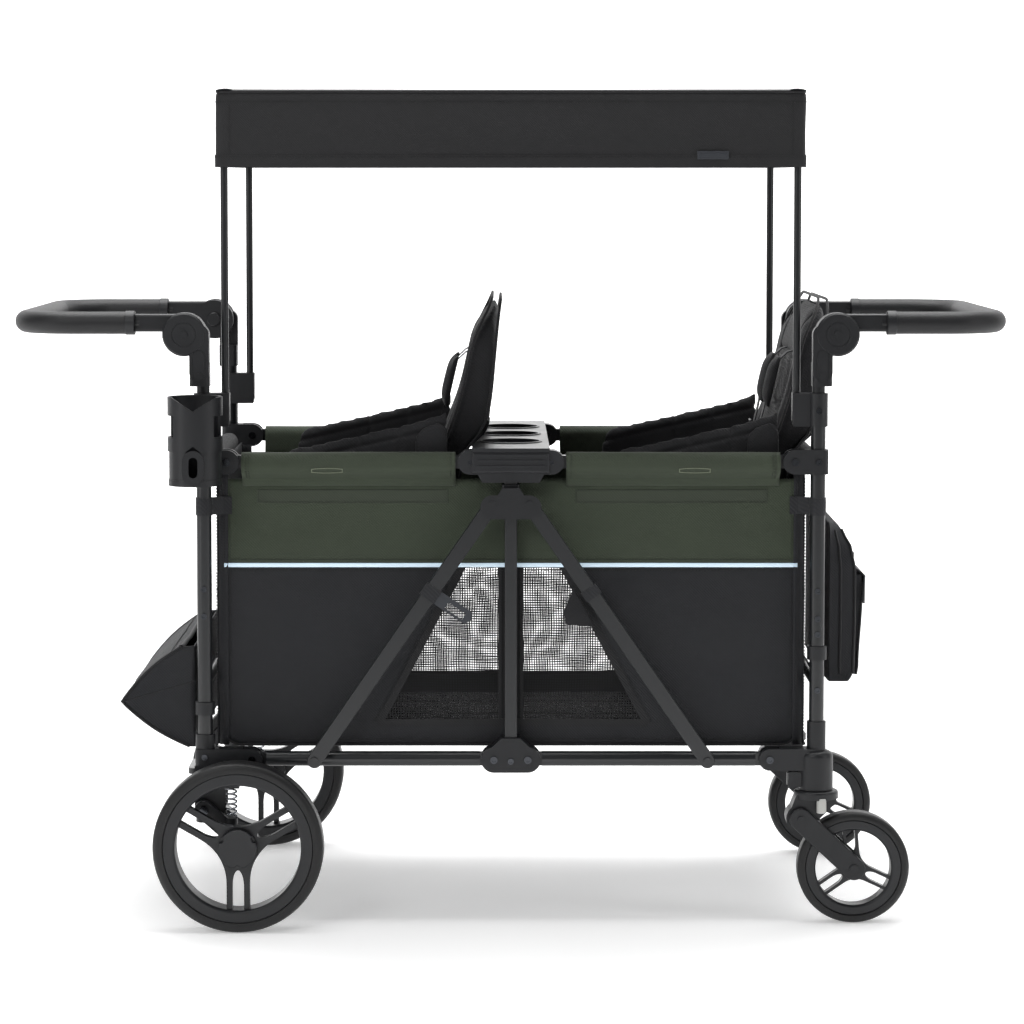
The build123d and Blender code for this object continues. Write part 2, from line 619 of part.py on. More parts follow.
# ---- Handles -------------------------------------------------------------------------------------
def handle_stem():
    """Stem that slides in the post, with the outer hub housing on top."""
    outer = -POST_Y - HANDLE_HUB_THICKNESS - 4.0
    inner = outer + HANDLE_HUB_THICKNESS
    stem = column(-POST_X, -POST_Y, STEM_BOTTOM, HOUSING_BOTTOM + 20.0, STEM_RADIUS)
    stem -= column(-POST_X, -POST_Y, STEM_BOTTOM - 1, HOUSING_BOTTOM, STEM_RADIUS - POST_WALL)
    centre = -POST_X - HOUSING_OFFSET
    half = HOUSING_WIDTH / 2
    housing = block(centre - half, centre + half, outer + 1.0, -POST_Y + POST_RADIUS,
                    HOUSING_BOTTOM, HOUSING_BOTTOM + 34.0)
    housing = fillet(housing.edges().filter_by(Axis.Z), 6.0)
    neck = plate(link((centre, HOUSING_BOTTOM + half + 6.0), (centre, HANDLE_PIVOT_Z), half),
                 outer + 1.0, inner)
    hub = disc(-HANDLE_PIVOT_X, HANDLE_PIVOT_Z, outer, inner, HANDLE_HUB_RADIUS)
    hub = chamfer(hub.edges().group_by(Axis.Y)[0], 2.5)
    body = stem + housing + neck + hub
    groove = disc(-HANDLE_PIVOT_X, HANDLE_PIVOT_Z, outer - 1.0, outer + 0.8, HUB_GROOVE_RADIUS)
    groove -= disc(-HANDLE_PIVOT_X, HANDLE_PIVOT_Z, outer - 2.0, outer + 1.8,
                   HUB_GROOVE_RADIUS - HUB_GROOVE_WIDTH)
    body -= groove
    border = link((centre, HOUSING_BOTTOM + half), (centre, HANDLE_PIVOT_Z - HANDLE_HUB_RADIUS),
                  half - 5.0)
    core = link((centre, HOUSING_BOTTOM + half), (centre, HANDLE_PIVOT_Z - HANDLE_HUB_RADIUS),
                half - 5.0 - HUB_GROOVE_WIDTH)
    body -= plate(border, outer, outer + 1.8) - plate(core, outer - 1.0, outer + 2.8)
    for x, z, face in ((-HANDLE_PIVOT_X, HANDLE_PIVOT_Z, outer),
                       (centre, HOUSING_BOTTOM + half, outer + 1.0)):
        body += disc(x, z, face - SCREW_HEAD_HEIGHT / 2, face, BOLT_HEAD_RADIUS)
    return body - disc(-HANDLE_PIVOT_X, HANDLE_PIVOT_Z, outer + 6.0, inner + 1.0,
                       PIN_RADIUS + RUNNING)


def handle_inner_face():
    """Y of the face between the outer hub and the swinging one."""
    return -POST_Y - 4.0 + GAP


def handle_path(start_x):
    """Centre line of the handle's U tube, from the near arm round to the far one."""
    end = -HANDLE_END_X + GRIP_DIAMETER / 2
    y = HANDLE_ARM_Y
    points = [(start_x, -y), (end, -y), (end, y), (start_x, y)]
    corners = [Vector(px, py, HANDLE_ARM_Z) for px, py in points]
    return FilletPolyline(*corners, radius=GRIP_CORNER_RADIUS)


def swept(path, outer_radius, inner_radius=0.0):
    """Round bar or tube along a path that starts towards -X."""
    start = Plane(path @ 0, z_dir=path % 0)
    section = Circle(outer_radius)
    if inner_radius:
        section -= Circle(inner_radius)
    return sweep(start * section, path)


def handle_frame():
    """Swinging part of the handle: two inner hubs and arms, joined by the U tube."""
    face = handle_inner_face()
    hub = disc(-HANDLE_PIVOT_X, HANDLE_PIVOT_Z, face, face + HANDLE_HUB_THICKNESS,
               HANDLE_HUB_RADIUS - 1.0)
    half_thickness = HANDLE_ARM_THICKNESS / 2
    arm = block(-HANDLE_PIVOT_X - HANDLE_ARM_LENGTH, -HANDLE_PIVOT_X,
                -HANDLE_ARM_Y - half_thickness, -HANDLE_ARM_Y + half_thickness,
                HANDLE_ARM_Z - HANDLE_ARM_HEIGHT / 2, HANDLE_ARM_Z + HANDLE_ARM_HEIGHT / 2)
    arm = fillet(arm.edges().filter_by(Axis.X), 4.0)
    pin = disc(-HANDLE_PIVOT_X, HANDLE_PIVOT_Z, face - HANDLE_HUB_THICKNESS + 8.0, face + 2.0,
               PIN_RADIUS)
    corner = hub + arm + pin
    button_room = disc(-HANDLE_PIVOT_X, HANDLE_PIVOT_Z, face + HANDLE_HUB_THICKNESS - 9.0,
                       face + HANDLE_HUB_THICKNESS + 1.0, BUTTON_RADIUS + RUNNING)
    corner -= button_room
    tube = swept(handle_path(-HANDLE_PIVOT_X - HANDLE_ARM_LENGTH + 10.0), HANDLE_TUBE_DIAMETER / 2)
    return [tube + corner + corner.mirror(Plane.XZ)]


def handle_grip():
    """Padded sleeve round the U tube."""
    path = handle_path(-HANDLE_PIVOT_X - HANDLE_ARM_LENGTH - 1.0)
    return [swept(path, GRIP_DIAMETER / 2, HANDLE_TUBE_DIAMETER / 2 + 0.1)]


def handle_button():
    """Round release button in the inner face of the near hub."""
    base = handle_inner_face() + HANDLE_HUB_THICKNESS
    body = disc(-HANDLE_PIVOT_X, HANDLE_PIVOT_Z, base - BUTTON_HEIGHT + 0.5,
                base + BUTTON_HEIGHT - 0.5, BUTTON_RADIUS)
    return chamfer(body.edges().group_by(Axis.Y)[-1], 1.0)


# ---- Canopy --------------------------------------------------------------------------------------
def canopy_hoop():
    """Rear hoop of the canopy: two poles and the bar across their tops."""
    corners = [(-POLE_X, -POLE_Y, POLE_BOTTOM), (-POLE_X, -POLE_Y, POLE_TOP),
               (-POLE_X, POLE_Y, POLE_TOP), (-POLE_X, POLE_Y, POLE_BOTTOM)]
    path = FilletPolyline(*corners, radius=POLE_CORNER_RADIUS)
    return [swept(path, POLE_DIAMETER / 2, POLE_DIAMETER / 2 - 1.2)]


def canopy_cover():
    """Cover with straight side flaps, open underneath."""
    body = block(-CANOPY_HALF_LENGTH, CANOPY_HALF_LENGTH, -CANOPY_HALF_WIDTH, CANOPY_HALF_WIDTH,
                 CANOPY_BOTTOM, CANOPY_TOP)
    body = fillet(body.edges().filter_by(Axis.Z), 6.0)
    inner = CANOPY_HALF_LENGTH - CANOPY_WALL
    across = CANOPY_HALF_WIDTH - CANOPY_WALL
    return [body - block(-inner, inner, -across, across, CANOPY_BOTTOM - 1,
                         CANOPY_TOP - CANOPY_WALL)]


# ---- Wheels --------------------------------------------------------------------------------------
def ring(outer, inner, width, outer_rounding, inner_rounding):
    """Ring about Z with rounded edges."""
    body = Cylinder(outer, width) - Cylinder(inner, width + 2)
    circles = body.edges().filter_by(GeomType.CIRCLE)
    for radius, rounding in ((outer, outer_rounding), (inner, inner_rounding)):
        rims = [edge for edge in circles if abs(edge.radius - radius) < 0.01]
        body = fillet(rims, rounding)
        circles = body.edges().filter_by(GeomType.CIRCLE)
    return body


def spoke_window(rim_inner, half_spoke, web_radius):
    """Opening between two spokes: straight beside each, and an arc round the hub. It lies along +X."""
    half_turn = radians(180 / SPOKE_COUNT)
    centre = (web_radius - half_spoke) / (1 - sin(half_turn))
    apex = half_spoke / sin(half_turn)
    touch_x = centre - (centre - web_radius) * sin(half_turn)
    touch_y = (touch_x - apex) * tan(half_turn)
    far = rim_inner * 3
    wedge = outline((apex, 0), (far, -(far - apex) * tan(half_turn)),
                    (far, (far - apex) * tan(half_turn)))
    core = outline((apex, 0), (touch_x, -touch_y), (touch_x, touch_y))
    core -= Pos(centre, 0) * Circle(centre - web_radius)
    return (wedge & Circle(rim_inner)) - core


def spoke_slot(rim_inner, half_slot, tip):
    """Slot that forks a spoke: straight sides and a round inner end. It lies along +X."""
    middle = tip + (rim_inner - tip) * 0.42
    slot = Pos((middle + rim_inner) / 2, 0) * Rectangle(rim_inner - middle, 2 * half_slot)
    slot += Pos(middle, 0) * Ellipse(middle - tip, half_slot)
    return slot & Circle(rim_inner)


def spoke_wheel(rim_radius, rim_inner, hub_radius, half_spoke, rib, bore, width, hub_width):
    """Rim, hub and forked spokes about Z. The first spoke points to -Y."""
    web_radius = hub_radius + SPOKE_WEB
    spider = Circle(rim_inner + 2.0)
    pitch = 360 / SPOKE_COUNT
    for n in range(SPOKE_COUNT):
        turn = Rot(0, 0, -90 + pitch * n)
        spider -= turn * Rot(0, 0, pitch / 2) * spoke_window(rim_inner, half_spoke, web_radius)
        spider -= turn * spoke_slot(rim_inner, half_spoke - rib, web_radius + SPOKE_WEB)
    body = Pos(0, 0, SPOKE_OFFSET - SPOKE_THICKNESS / 2) * extrude(spider, SPOKE_THICKNESS)
    body += ring(rim_radius, rim_inner, width - 3.0, 1.5, 4.0)
    body += Cylinder(hub_radius, hub_width)
    return body - Cylinder(bore + RUNNING, hub_width + 50)


def on_axle(shape, x, y, z):
    """Stand a wheel drawn about Z upright, with its axle along Y."""
    return Pos(x, y, z) * Rot(90, 0, 0) * shape


def rear_wheel():
    """Near rear wheel's rim, with the hub cap that closes its outer face."""
    half = REAR_WHEEL_WIDTH / 2
    wheel = spoke_wheel(REAR_RIM_RADIUS, REAR_RIM_INNER, REAR_HUB_RADIUS, REAR_HALF_SPOKE,
                        REAR_SPOKE_RIB, REAR_AXLE_RADIUS, REAR_WHEEL_WIDTH, REAR_WHEEL_WIDTH - 6.0)
    bearing = Cylinder(12.0, 12.0) - Cylinder(REAR_AXLE_RADIUS + RUNNING, 14.0)
    wheel += Pos(0, 0, -half - 2.0) * bearing
    cap = Circle(REAR_HUB_RADIUS)
    for n in range(SPOKE_COUNT):
        cap -= Rot(0, 0, -90 + 360 / SPOKE_COUNT * n) * Pos(REAR_HUB_RADIUS + 1.5, 0) * Circle(6.0)
    cap = Pos(0, 0, half - HUB_CAP_INSET) * extrude(cap, HUB_CAP_HEIGHT)
    wheel += chamfer(cap.edges().group_by(Axis.Z)[-1], 1.0)
    return on_axle(wheel, -REAR_WHEEL_X, -REAR_WHEEL_Y, REAR_WHEEL_RADIUS)


def rear_tyre():
    tyre = ring(REAR_WHEEL_RADIUS, REAR_RIM_RADIUS + 0.02, REAR_WHEEL_WIDTH, 9.0, 1.5)
    return on_axle(tyre, -REAR_WHEEL_X, -REAR_WHEEL_Y, REAR_WHEEL_RADIUS)


def rear_arm():
    """Suspension arm from the lower bracket to the wheel, with its axle."""
    inner = -REAR_ARM_Y + REAR_ARM_THICKNESS / 2
    outer = -REAR_ARM_Y - REAR_ARM_THICKNESS / 2
    pivot = (-POST_X, REAR_ARM_PIVOT_Z)
    axle = (-REAR_WHEEL_X, REAR_WHEEL_RADIUS)
    body = plate(link(pivot, axle, REAR_ARM_RADIUS), outer, inner)
    body = fillet(body.edges().group_by(Axis.Y)[0], 1.5)
    body += column(-SPRING_SEAT_X, -REAR_ARM_Y, 142.0, 160.0, 9.0)
    axle_end = -REAR_WHEEL_Y - REAR_WHEEL_WIDTH / 2 + HUB_CAP_INSET + GAP
    body += disc(*axle, outer, axle_end, REAR_AXLE_RADIUS)
    return body - disc(*pivot, outer - 1, inner + 1, PIN_RADIUS + RUNNING)


def suspension_bolt():
    """Bolt that the rear suspension arm turns on."""
    outer = -REAR_ARM_Y - REAR_ARM_THICKNESS / 2 - GAP
    shank = disc(-POST_X, REAR_ARM_PIVOT_Z, -POST_Y - POST_RADIUS - 0.6, outer, PIN_RADIUS)
    return shank + disc(-POST_X, REAR_ARM_PIVOT_Z, outer, outer - 4.0, BOLT_HEAD_RADIUS + 1.0)


def brake_bar():
    """Brake bar between the lower brackets, with its pedal."""
    reach = POST_Y - 9.0
    bar = disc(-BRAKE_PIVOT_X, BRAKE_PIVOT_Z, -reach, reach, BRAKE_BAR_RADIUS)
    tip = -BRAKE_PIVOT_X - PEDAL_LENGTH
    stem = block(tip + 20.0, -BRAKE_PIVOT_X, -12.0, 12.0, BRAKE_PIVOT_Z - 4.0, BRAKE_PIVOT_Z + 4.0)
    pedal = block(tip, tip + 30.0, -PEDAL_WIDTH / 2, PEDAL_WIDTH / 2,
                  BRAKE_PIVOT_Z - 4.0, BRAKE_PIVOT_Z + 5.0)
    return [bar + stem + fillet(pedal.edges().filter_by(Axis.Z), 8.0)]


# ---- Swivel casters, drawn at the near front corner ----------------------------------------------
def caster_housing():
    """Fixed part of the caster: a dome and sleeve on the post, and the bottom rail's clevis."""
    dome = column(POST_X, -POST_Y, CASTER_DOME_BOTTOM, CASTER_DOME_TOP, CASTER_DOME_RADIUS)
    dome = fillet(dome.edges().group_by(Axis.Z)[-1], 10.0)
    body = dome + column(POST_X, -POST_Y, CASTER_DOME_BOTTOM, CASTER_SLEEVE_TOP,
                         POST_RADIUS + CASTER_SLEEVE_WALL)
    radius = CASTER_LUG_RADIUS
    flat = Pos((POST_X + BOTTOM_PIVOT_X) / 2, BOTTOM_RAIL_Z) * Rectangle(
        POST_X - BOTTOM_PIVOT_X, 2 * radius)
    flat += Pos(BOTTOM_PIVOT_X, BOTTOM_RAIL_Z) * Circle(radius)
    body += plate(flat, -BRACKET_FACE, -BRACKET_FACE + BRACKET_WIDTH)
    tab_x = POST_X - CASTER_DOME_RADIUS
    half = LOCK_WIDTH / 2
    guide = block(tab_x - 16.0, tab_x + 8.0, -POST_Y - half - 3.0, -POST_Y + half + 3.0,
                  CASTER_DOME_BOTTOM + 4.0, CASTER_DOME_BOTTOM + 26.0)
    guide -= block(tab_x - 20.0, tab_x - 0.5, -POST_Y - half - 0.3, -POST_Y + half + 0.3,
                   CASTER_DOME_BOTTOM + 1.0, CASTER_DOME_BOTTOM + 29.0)
    body += guide
    body -= eye_slot(BOTTOM_PIVOT_X, BOTTOM_RAIL_Z, -1, radius + 1, -radius - 1)
    body -= disc(BOTTOM_PIVOT_X, BOTTOM_RAIL_Z, -POST_Y - 30, -POST_Y + 30, PIN_RADIUS + RUNNING)
    body -= column(POST_X, -POST_Y, FRONT_POST_BOTTOM, CASTER_SLEEVE_TOP + 1, POST_RADIUS + RUNNING)
    return body - column(POST_X, -POST_Y, CASTER_DOME_BOTTOM - 1, KINGPIN_TOP + 1,
                         KINGPIN_RADIUS + RUNNING)


def caster_lock():
    """Lever that locks the swivel, sliding between the housing's guides."""
    edge = POST_X - CASTER_DOME_RADIUS - 1.0
    half = LOCK_WIDTH / 2
    body = block(edge - 17.0, edge, -POST_Y - half, -POST_Y + half,
                 CASTER_DOME_BOTTOM + 6.0, CASTER_DOME_BOTTOM + 24.0)
    return fillet(body.edges().filter_by(Axis.Z).group_by(Axis.X)[0], 4.0)


def caster_yoke():
    """Swivelling yoke: crown, leg and the boss that the suspension arm turns on."""
    half = YOKE_WIDTH / 2
    boss = (POST_X - CASTER_ARM_BACK, CASTER_ARM_PIVOT_Z)
    crown = column(POST_X, -POST_Y, YOKE_TOP - 12.0, YOKE_TOP, YOKE_RADIUS)
    crown = fillet(crown.edges().group_by(Axis.Z)[-1], 4.0)
    leg = outline(
        (POST_X - 30.0, YOKE_TOP - 6.0), (POST_X + 26.0, YOKE_TOP - 6.0),
        (POST_X + 31.0, YOKE_TOP - 18.0), (POST_X + 24.0, YOKE_TOP - 22.0),
        (boss[0] + 14.0, boss[1] - 14.0), (boss[0] - YOKE_BOSS_RADIUS + 1.0, boss[1]))
    flat = leg + Pos(*boss) * Circle(YOKE_BOSS_RADIUS)
    body = crown + plate(flat, -POST_Y - half, -POST_Y + half)
    body += column(POST_X, -POST_Y, YOKE_TOP - 6.0, KINGPIN_TOP, KINGPIN_RADIUS)
    return body - disc(*boss, -POST_Y - 30, -POST_Y + 30, PIN_RADIUS + RUNNING)


def caster_arm():
    """Fork of two swing arms, with the pivot bolt and the axle between them."""
    pivot = (POST_X - CASTER_ARM_BACK, CASTER_ARM_PIVOT_Z)
    axle = (POST_X + CASTER_WHEEL_TRAIL, CASTER_WHEEL_RADIUS)
    inner = max(YOKE_WIDTH, CASTER_WHEEL_WIDTH) / 2 + 1.0
    outer = inner + CASTER_ARM_THICKNESS
    flat = link(pivot, axle, CASTER_ARM_RADIUS)
    near = plate(flat, -POST_Y - outer, -POST_Y - inner)
    near = fillet(near.edges().group_by(Axis.Y)[0], 2.0)
    near += disc(*pivot, -POST_Y - outer - 2.5, -POST_Y - outer, BOLT_HEAD_RADIUS)
    near += disc(*axle, -POST_Y - outer - 2.5, -POST_Y - outer, BOLT_HEAD_RADIUS + 1.5)
    far = near.mirror(Plane.XZ.offset(POST_Y))
    across = disc(*pivot, -POST_Y - inner - 1, -POST_Y + inner + 1, PIN_RADIUS)
    across += disc(*axle, -POST_Y - inner - 1, -POST_Y + inner + 1, CASTER_AXLE_RADIUS)
    return near + far + across


def caster_wheel():
    wheel = spoke_wheel(CASTER_RIM_RADIUS, CASTER_RIM_INNER, CASTER_HUB_RADIUS, CASTER_HALF_SPOKE,
                        CASTER_SPOKE_RIB, CASTER_AXLE_RADIUS, CASTER_WHEEL_WIDTH,
                        CASTER_WHEEL_WIDTH + 1.0)
    turned = Rot(0, 0, CASTER_WHEEL_TURN) * wheel
    return on_axle(turned, POST_X + CASTER_WHEEL_TRAIL, -POST_Y, CASTER_WHEEL_RADIUS)


def caster_tyre():
    tyre = ring(CASTER_WHEEL_RADIUS, CASTER_RIM_RADIUS + 0.02, CASTER_WHEEL_WIDTH, 8.0, 1.5)
    return on_axle(tyre, POST_X + CASTER_WHEEL_TRAIL, -POST_Y, CASTER_WHEEL_RADIUS)


# ---- Accessories and soft goods ------------------------------------------------------------------
def cup_holder():
    """Cup holder with a notched rim and side cut-outs, and its clamp round the post."""
    x, y = -HOLDER_X, -HOLDER_Y
    inner = HOLDER_RADIUS - HOLDER_STEP - HOLDER_WALL
    cup = column(x, y, HOLDER_BOTTOM, HOLDER_BOTTOM + 9.0, HOLDER_RADIUS - 1.0)
    cup += column(x, y, HOLDER_BOTTOM + 9.0, HOLDER_BAND, HOLDER_RADIUS - HOLDER_STEP)
    sleeve = column(x, y, HOLDER_BAND, HOLDER_TOP, HOLDER_RADIUS)
    notch = Pos(x, HOLDER_TOP) * outline((-34, 1), (-17, -9), (0, -20), (17, -9), (34, 1))
    sleeve -= plate(notch, y - HOLDER_RADIUS - 5, y)
    rise = Pos(x, HOLDER_BAND) * outline((-13, -1), (13, -1), (0, 9))
    sleeve -= plate(rise, y - HOLDER_RADIUS - 5, y - 20.0)
    for side in (-1, 1):
        sleeve -= block(x + side * (HOLDER_RADIUS - 16.0), x + side * (HOLDER_RADIUS + 5),
                        y - 27.0, y + 16.0, HOLDER_BAND + 21.0, HOLDER_TOP - 27.0)
    frame = Pos(x, HOLDER_BOTTOM + 28.0) * Rot(0, 0, 90) * SlotCenterToCenter(17.0, 32.0)
    cup += plate(frame, y - HOLDER_RADIUS + 0.5, y - HOLDER_RADIUS + 6.0)
    cup += sleeve
    cup -= column(x, y, HOLDER_BOTTOM + 4.0, HOLDER_TOP + 1, inner)
    slot = Pos(x, HOLDER_BOTTOM + 28.0) * Rot(0, 0, 90) * SlotCenterToCenter(17.0, 13.0)
    cup -= plate(slot, y - HOLDER_RADIUS - 5, y)
    ring_piece = column(-POST_X, -POST_Y, CLAMP_BOTTOM, CLAMP_TOP, POST_RADIUS + 5.0)
    arm = block(-POST_X - 11.0, -POST_X + 9.0, y + HOLDER_RADIUS - 6.0, -POST_Y,
                CLAMP_BOTTOM, CLAMP_TOP)
    clamp = ring_piece + arm - post_hole(CLAMP_BOTTOM - 1, CLAMP_TOP + 1)
    clamp -= column(x, y, CLAMP_BOTTOM - 1, CLAMP_TOP + 1, inner)
    return [cup + clamp]


def storage_basket():
    """Soft basket on the rear posts, open at the top next to the wagon."""
    wall = BASKET_WALL
    tip_x, tip_z = BASKET_TIP
    lip_x, lip_z = BASKET_LIP
    back, foot = -BASKET_BACK_X, -BASKET_FOOT_X
    outer = outline((tip_x, tip_z), (lip_x, lip_z), (back, BASKET_TOP), (back, BASKET_BOTTOM),
                    (foot, BASKET_BOTTOM))
    over = BASKET_TOP + 21.0
    inner = outline((tip_x + 8.0, tip_z + 0.5), (lip_x, lip_z - 5.0), (lip_x, over),
                    (back - wall, over), (back - wall, BASKET_BOTTOM + wall),
                    (foot + 1.0, BASKET_BOTTOM + wall))
    body = plate(outer, -BASKET_HALF_WIDTH, BASKET_HALF_WIDTH)
    return [body - plate(inner, -BASKET_HALF_WIDTH + wall, BASKET_HALF_WIDTH - wall)]


def organiser_bag():
    """Zipped bag on the front posts, with an outer pocket, open along its top."""
    wall, half = BAG_WALL, BAG_HALF_WIDTH
    back, face, low, top = BAG_BACK_X, BAG_FACE_X, BAG_BOTTOM, BAG_TOP
    outer = outline((back, top), (back + 20.0, top - 1.0), (face - 9.0, top - 38.0),
                    (face, top - 73.0), (face - 1.0, low + 8.0), (face - 7.0, low), (back, low))
    over = top + 20.0
    inner = outline((back + wall, over), (back + 15.0, over), (back + 16.5, top - 5.0),
                    (face - 12.5, top - 40.0), (face - wall, top - 75.0),
                    (face - wall - 1.0, low + 9.0), (face - 9.0, low + wall),
                    (back + wall, low + wall))
    body = plate(outer, -half, half) - plate(inner, -half + wall, half - wall)
    reach, out = half - POCKET_INSET, POCKET_FACE_X
    pocket = outline((face - 1.0, POCKET_TOP), (out, POCKET_TOP - 3.0),
                     (out - 4.0, POCKET_TOP - 73.0), (face - 1.5, low + 9.0))
    over = POCKET_TOP + 6.0
    hollow = outline((face + 2.5, over), (out - wall, over), (out - wall - 3.0, POCKET_TOP - 68.0),
                     (face + 2.5, POCKET_TOP - 88.0))
    body += plate(pocket, -reach, reach)
    return [body - plate(hollow, -reach + wall, reach - wall)]


def side_panels():
    """Fabric side walls, each with the sleeves that wrap its two top rails."""
    half = PANEL_THICKNESS / 2
    middle = TOP_RAIL_Z - SLEEVE_RADIUS - 12.0
    side = block(-PANEL_HALF_LENGTH, PANEL_HALF_LENGTH, -PANEL_Y - half, -PANEL_Y + half,
                 PANEL_BOTTOM, middle)
    pieces = []
    sleeve_end = CENTRE_TOP_PIVOT_X + SLEEVE_START
    for end in (-1, 1):
        x0, x1 = end * (TOP_PIVOT_X - SLEEVE_START), end * sleeve_end
        side += block(x0, x1, -PANEL_Y - half, -PANEL_Y + half, middle - 1, TOP_RAIL_Z)
        side += block(x0, x1, -POST_Y + 12.5, -PANEL_Y + half, TOP_RAIL_Z - 7.0, TOP_RAIL_Z)
        side += bar_along_x(x0, x1, -POST_Y, TOP_RAIL_Z, SLEEVE_RADIUS)
        side -= bar_along_x(x0 + end * 5, x1 - end * 5, -POST_Y, TOP_RAIL_Z, RAIL_RADIUS + 0.3)
    pieces.append(side)
    return both_sides(*pieces)


def end_panel():
    """Fabric wall across the rear end, with the padded roll round the end bar."""
    reach = PANEL_Y - PANEL_THICKNESS / 2 - 1.0
    wall = block(-END_PANEL_X - 2.0, -END_PANEL_X + 2.0, -reach, reach, PANEL_BOTTOM, END_BAR_Z)
    wall += disc(-POST_X, END_BAR_Z, -reach, reach, END_PAD_DIAMETER / 2)
    return [wall - disc(-POST_X, END_BAR_Z, -reach - 5, reach + 5, END_BAR_DIAMETER / 2 + 0.1)]


def floor_mat():
    reach = PANEL_Y - PANEL_THICKNESS / 2 - 1.0
    length = END_PANEL_X - 3.0
    return [block(-length, length, -reach, reach, FLOOR_Z, FLOOR_Z + FLOOR_THICKNESS)]


def seat_pans():
    """Two seat cushions, both for a child who faces the rear end."""
    front = BACK_TOP_X - BACK_THICKNESS - (BACK_TOP_Z - SEAT_Z) * tan(radians(BACK_LEAN))
    pan = block(front - SEAT_DEPTH, front, -SEAT_HALF_WIDTH, SEAT_HALF_WIDTH,
                SEAT_Z, SEAT_Z + SEAT_THICKNESS)
    pan = fillet(pan.edges().filter_by(Axis.Y), 12.0)
    return [pan, Pos(SEAT_SPACING, 0, 0) * pan]


def seat_back():
    """Back of the rear seat, leaning towards the front, on the round bar that it folds about."""
    slope = (BACK_TOP_Z - BACK_BOTTOM_Z) * tan(radians(BACK_LEAN))
    foot = BACK_TOP_X - slope
    half = SEAT_HALF_WIDTH - 20.0
    flat = outline((foot - BACK_THICKNESS, BACK_BOTTOM_Z), (foot, BACK_BOTTOM_Z),
                   (BACK_TOP_X, BACK_TOP_Z), (BACK_TOP_X - BACK_THICKNESS, BACK_TOP_Z))
    body = plate(flat, -half, half)
    body = fillet(body.edges().filter_by(Axis.Y), 14.0)
    hinge_x = foot - BACK_THICKNESS / 2
    return [body + disc(hinge_x, BACK_HINGE_Z, -half - 8.0, half + 8.0, BACK_HINGE_RADIUS)]


def main():
    os.makedirs("parts", exist_ok=True)

    save("rear_posts", both_sides(post(REAR_POST_BOTTOM)))
    save("front_posts", to_front(both_sides(post(FRONT_POST_BOTTOM))))
    save("rear_fittings", rear_fittings())
    save("front_fittings", front_fittings())
    save_both_ends("cross_tubes", cross_tubes())
    bracket_screw = screw_head(-POST_X, -BRACKET_FACE - RUNNING, BOTTOM_RAIL_Z + 4.0)
    rear_screws = end_bolts(REAR_POST_SCREWS) + [bracket_screw, suspension_bolt()]
    save("rear_screws", both_sides(*rear_screws))
    save("front_screws", to_front(both_sides(*end_bolts(FRONT_POST_SCREWS))))

    save_both_ends("bottom_rails", bottom_rails())
    save_both_ends("top_rails", top_rails())
    save_both_ends("braces", both_sides(brace()))
    save("centre_posts", both_sides(centre_post()))
    save("centre_boots", both_sides(centre_boot()))
    save("centre_bolts", centre_bolts())
    save("slider_collars", both_sides(slider_collar()))
    save("console", console())

    save_both_ends("handle_stems", both_sides(handle_stem()))
    save_both_ends("handle_frame", handle_frame())
    save_both_ends("handle_grip", handle_grip())
    button = handle_button()
    save_both_ends("right_button", [button])
    save_both_ends("left_button", [button.mirror(Plane.XZ)])

    save("canopy_rear_hoop", canopy_hoop())
    save("canopy_front_hoop", to_front(canopy_hoop()))
    save("canopy_cover", canopy_cover())

    # seen from the rear, looking towards the front, the near side (-Y) is on the right
    corners = {
        "rear_right": {"arm": rear_arm(), "wheel": rear_wheel(), "tyre": rear_tyre()},
        "caster_right": {"yoke": caster_yoke(), "arm": caster_arm(), "wheel": caster_wheel(),
                         "tyre": caster_tyre(), "lock": caster_lock()},
    }
    for place, pieces in corners.items():
        for name, piece in pieces.items():
            save(f"{place}_{name}", [piece])
            save(f"{place.replace('right', 'left')}_{name}", [piece.mirror(Plane.XZ)])
    save("caster_housings", both_sides(caster_housing()))
    save("brake_bar", brake_bar())

    save("cup_holder", cup_holder())
    save("storage_basket", storage_basket())
    save("organiser_bag", organiser_bag())
    save("side_panels", side_panels())
    save_both_ends("end_panel", end_panel())
    save("floor_mat", floor_mat())
    save("seat_pans", seat_pans())
    back = seat_back()
    save("rear_seat_back", back)
    save("front_seat_back", [Pos(SEAT_SPACING, 0, 0) * piece for piece in back])


main()
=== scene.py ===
"""Looks of the folding pull wagon: finishes for its frame, and its fabric, pads and trims."""

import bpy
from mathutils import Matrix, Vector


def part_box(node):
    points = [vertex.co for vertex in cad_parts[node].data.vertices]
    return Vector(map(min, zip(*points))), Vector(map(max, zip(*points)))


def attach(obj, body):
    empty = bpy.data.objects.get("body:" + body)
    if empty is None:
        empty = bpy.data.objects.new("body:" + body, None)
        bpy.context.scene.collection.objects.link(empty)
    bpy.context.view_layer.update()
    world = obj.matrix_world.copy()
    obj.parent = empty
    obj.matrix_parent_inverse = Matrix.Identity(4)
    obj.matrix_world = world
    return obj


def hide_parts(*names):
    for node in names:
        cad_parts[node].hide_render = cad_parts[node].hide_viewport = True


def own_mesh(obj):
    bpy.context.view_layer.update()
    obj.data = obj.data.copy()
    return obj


bl_info = {
    "name": "Pull Wagon",
    "version": (1, 0, 0),
    "blender": (4, 5, 0),
    "location": "3D View > Sidebar > Wagon",
    "description": "Finishes the frame of a folding pull wagon and sews its soft goods",
    "category": "Add Mesh",
}

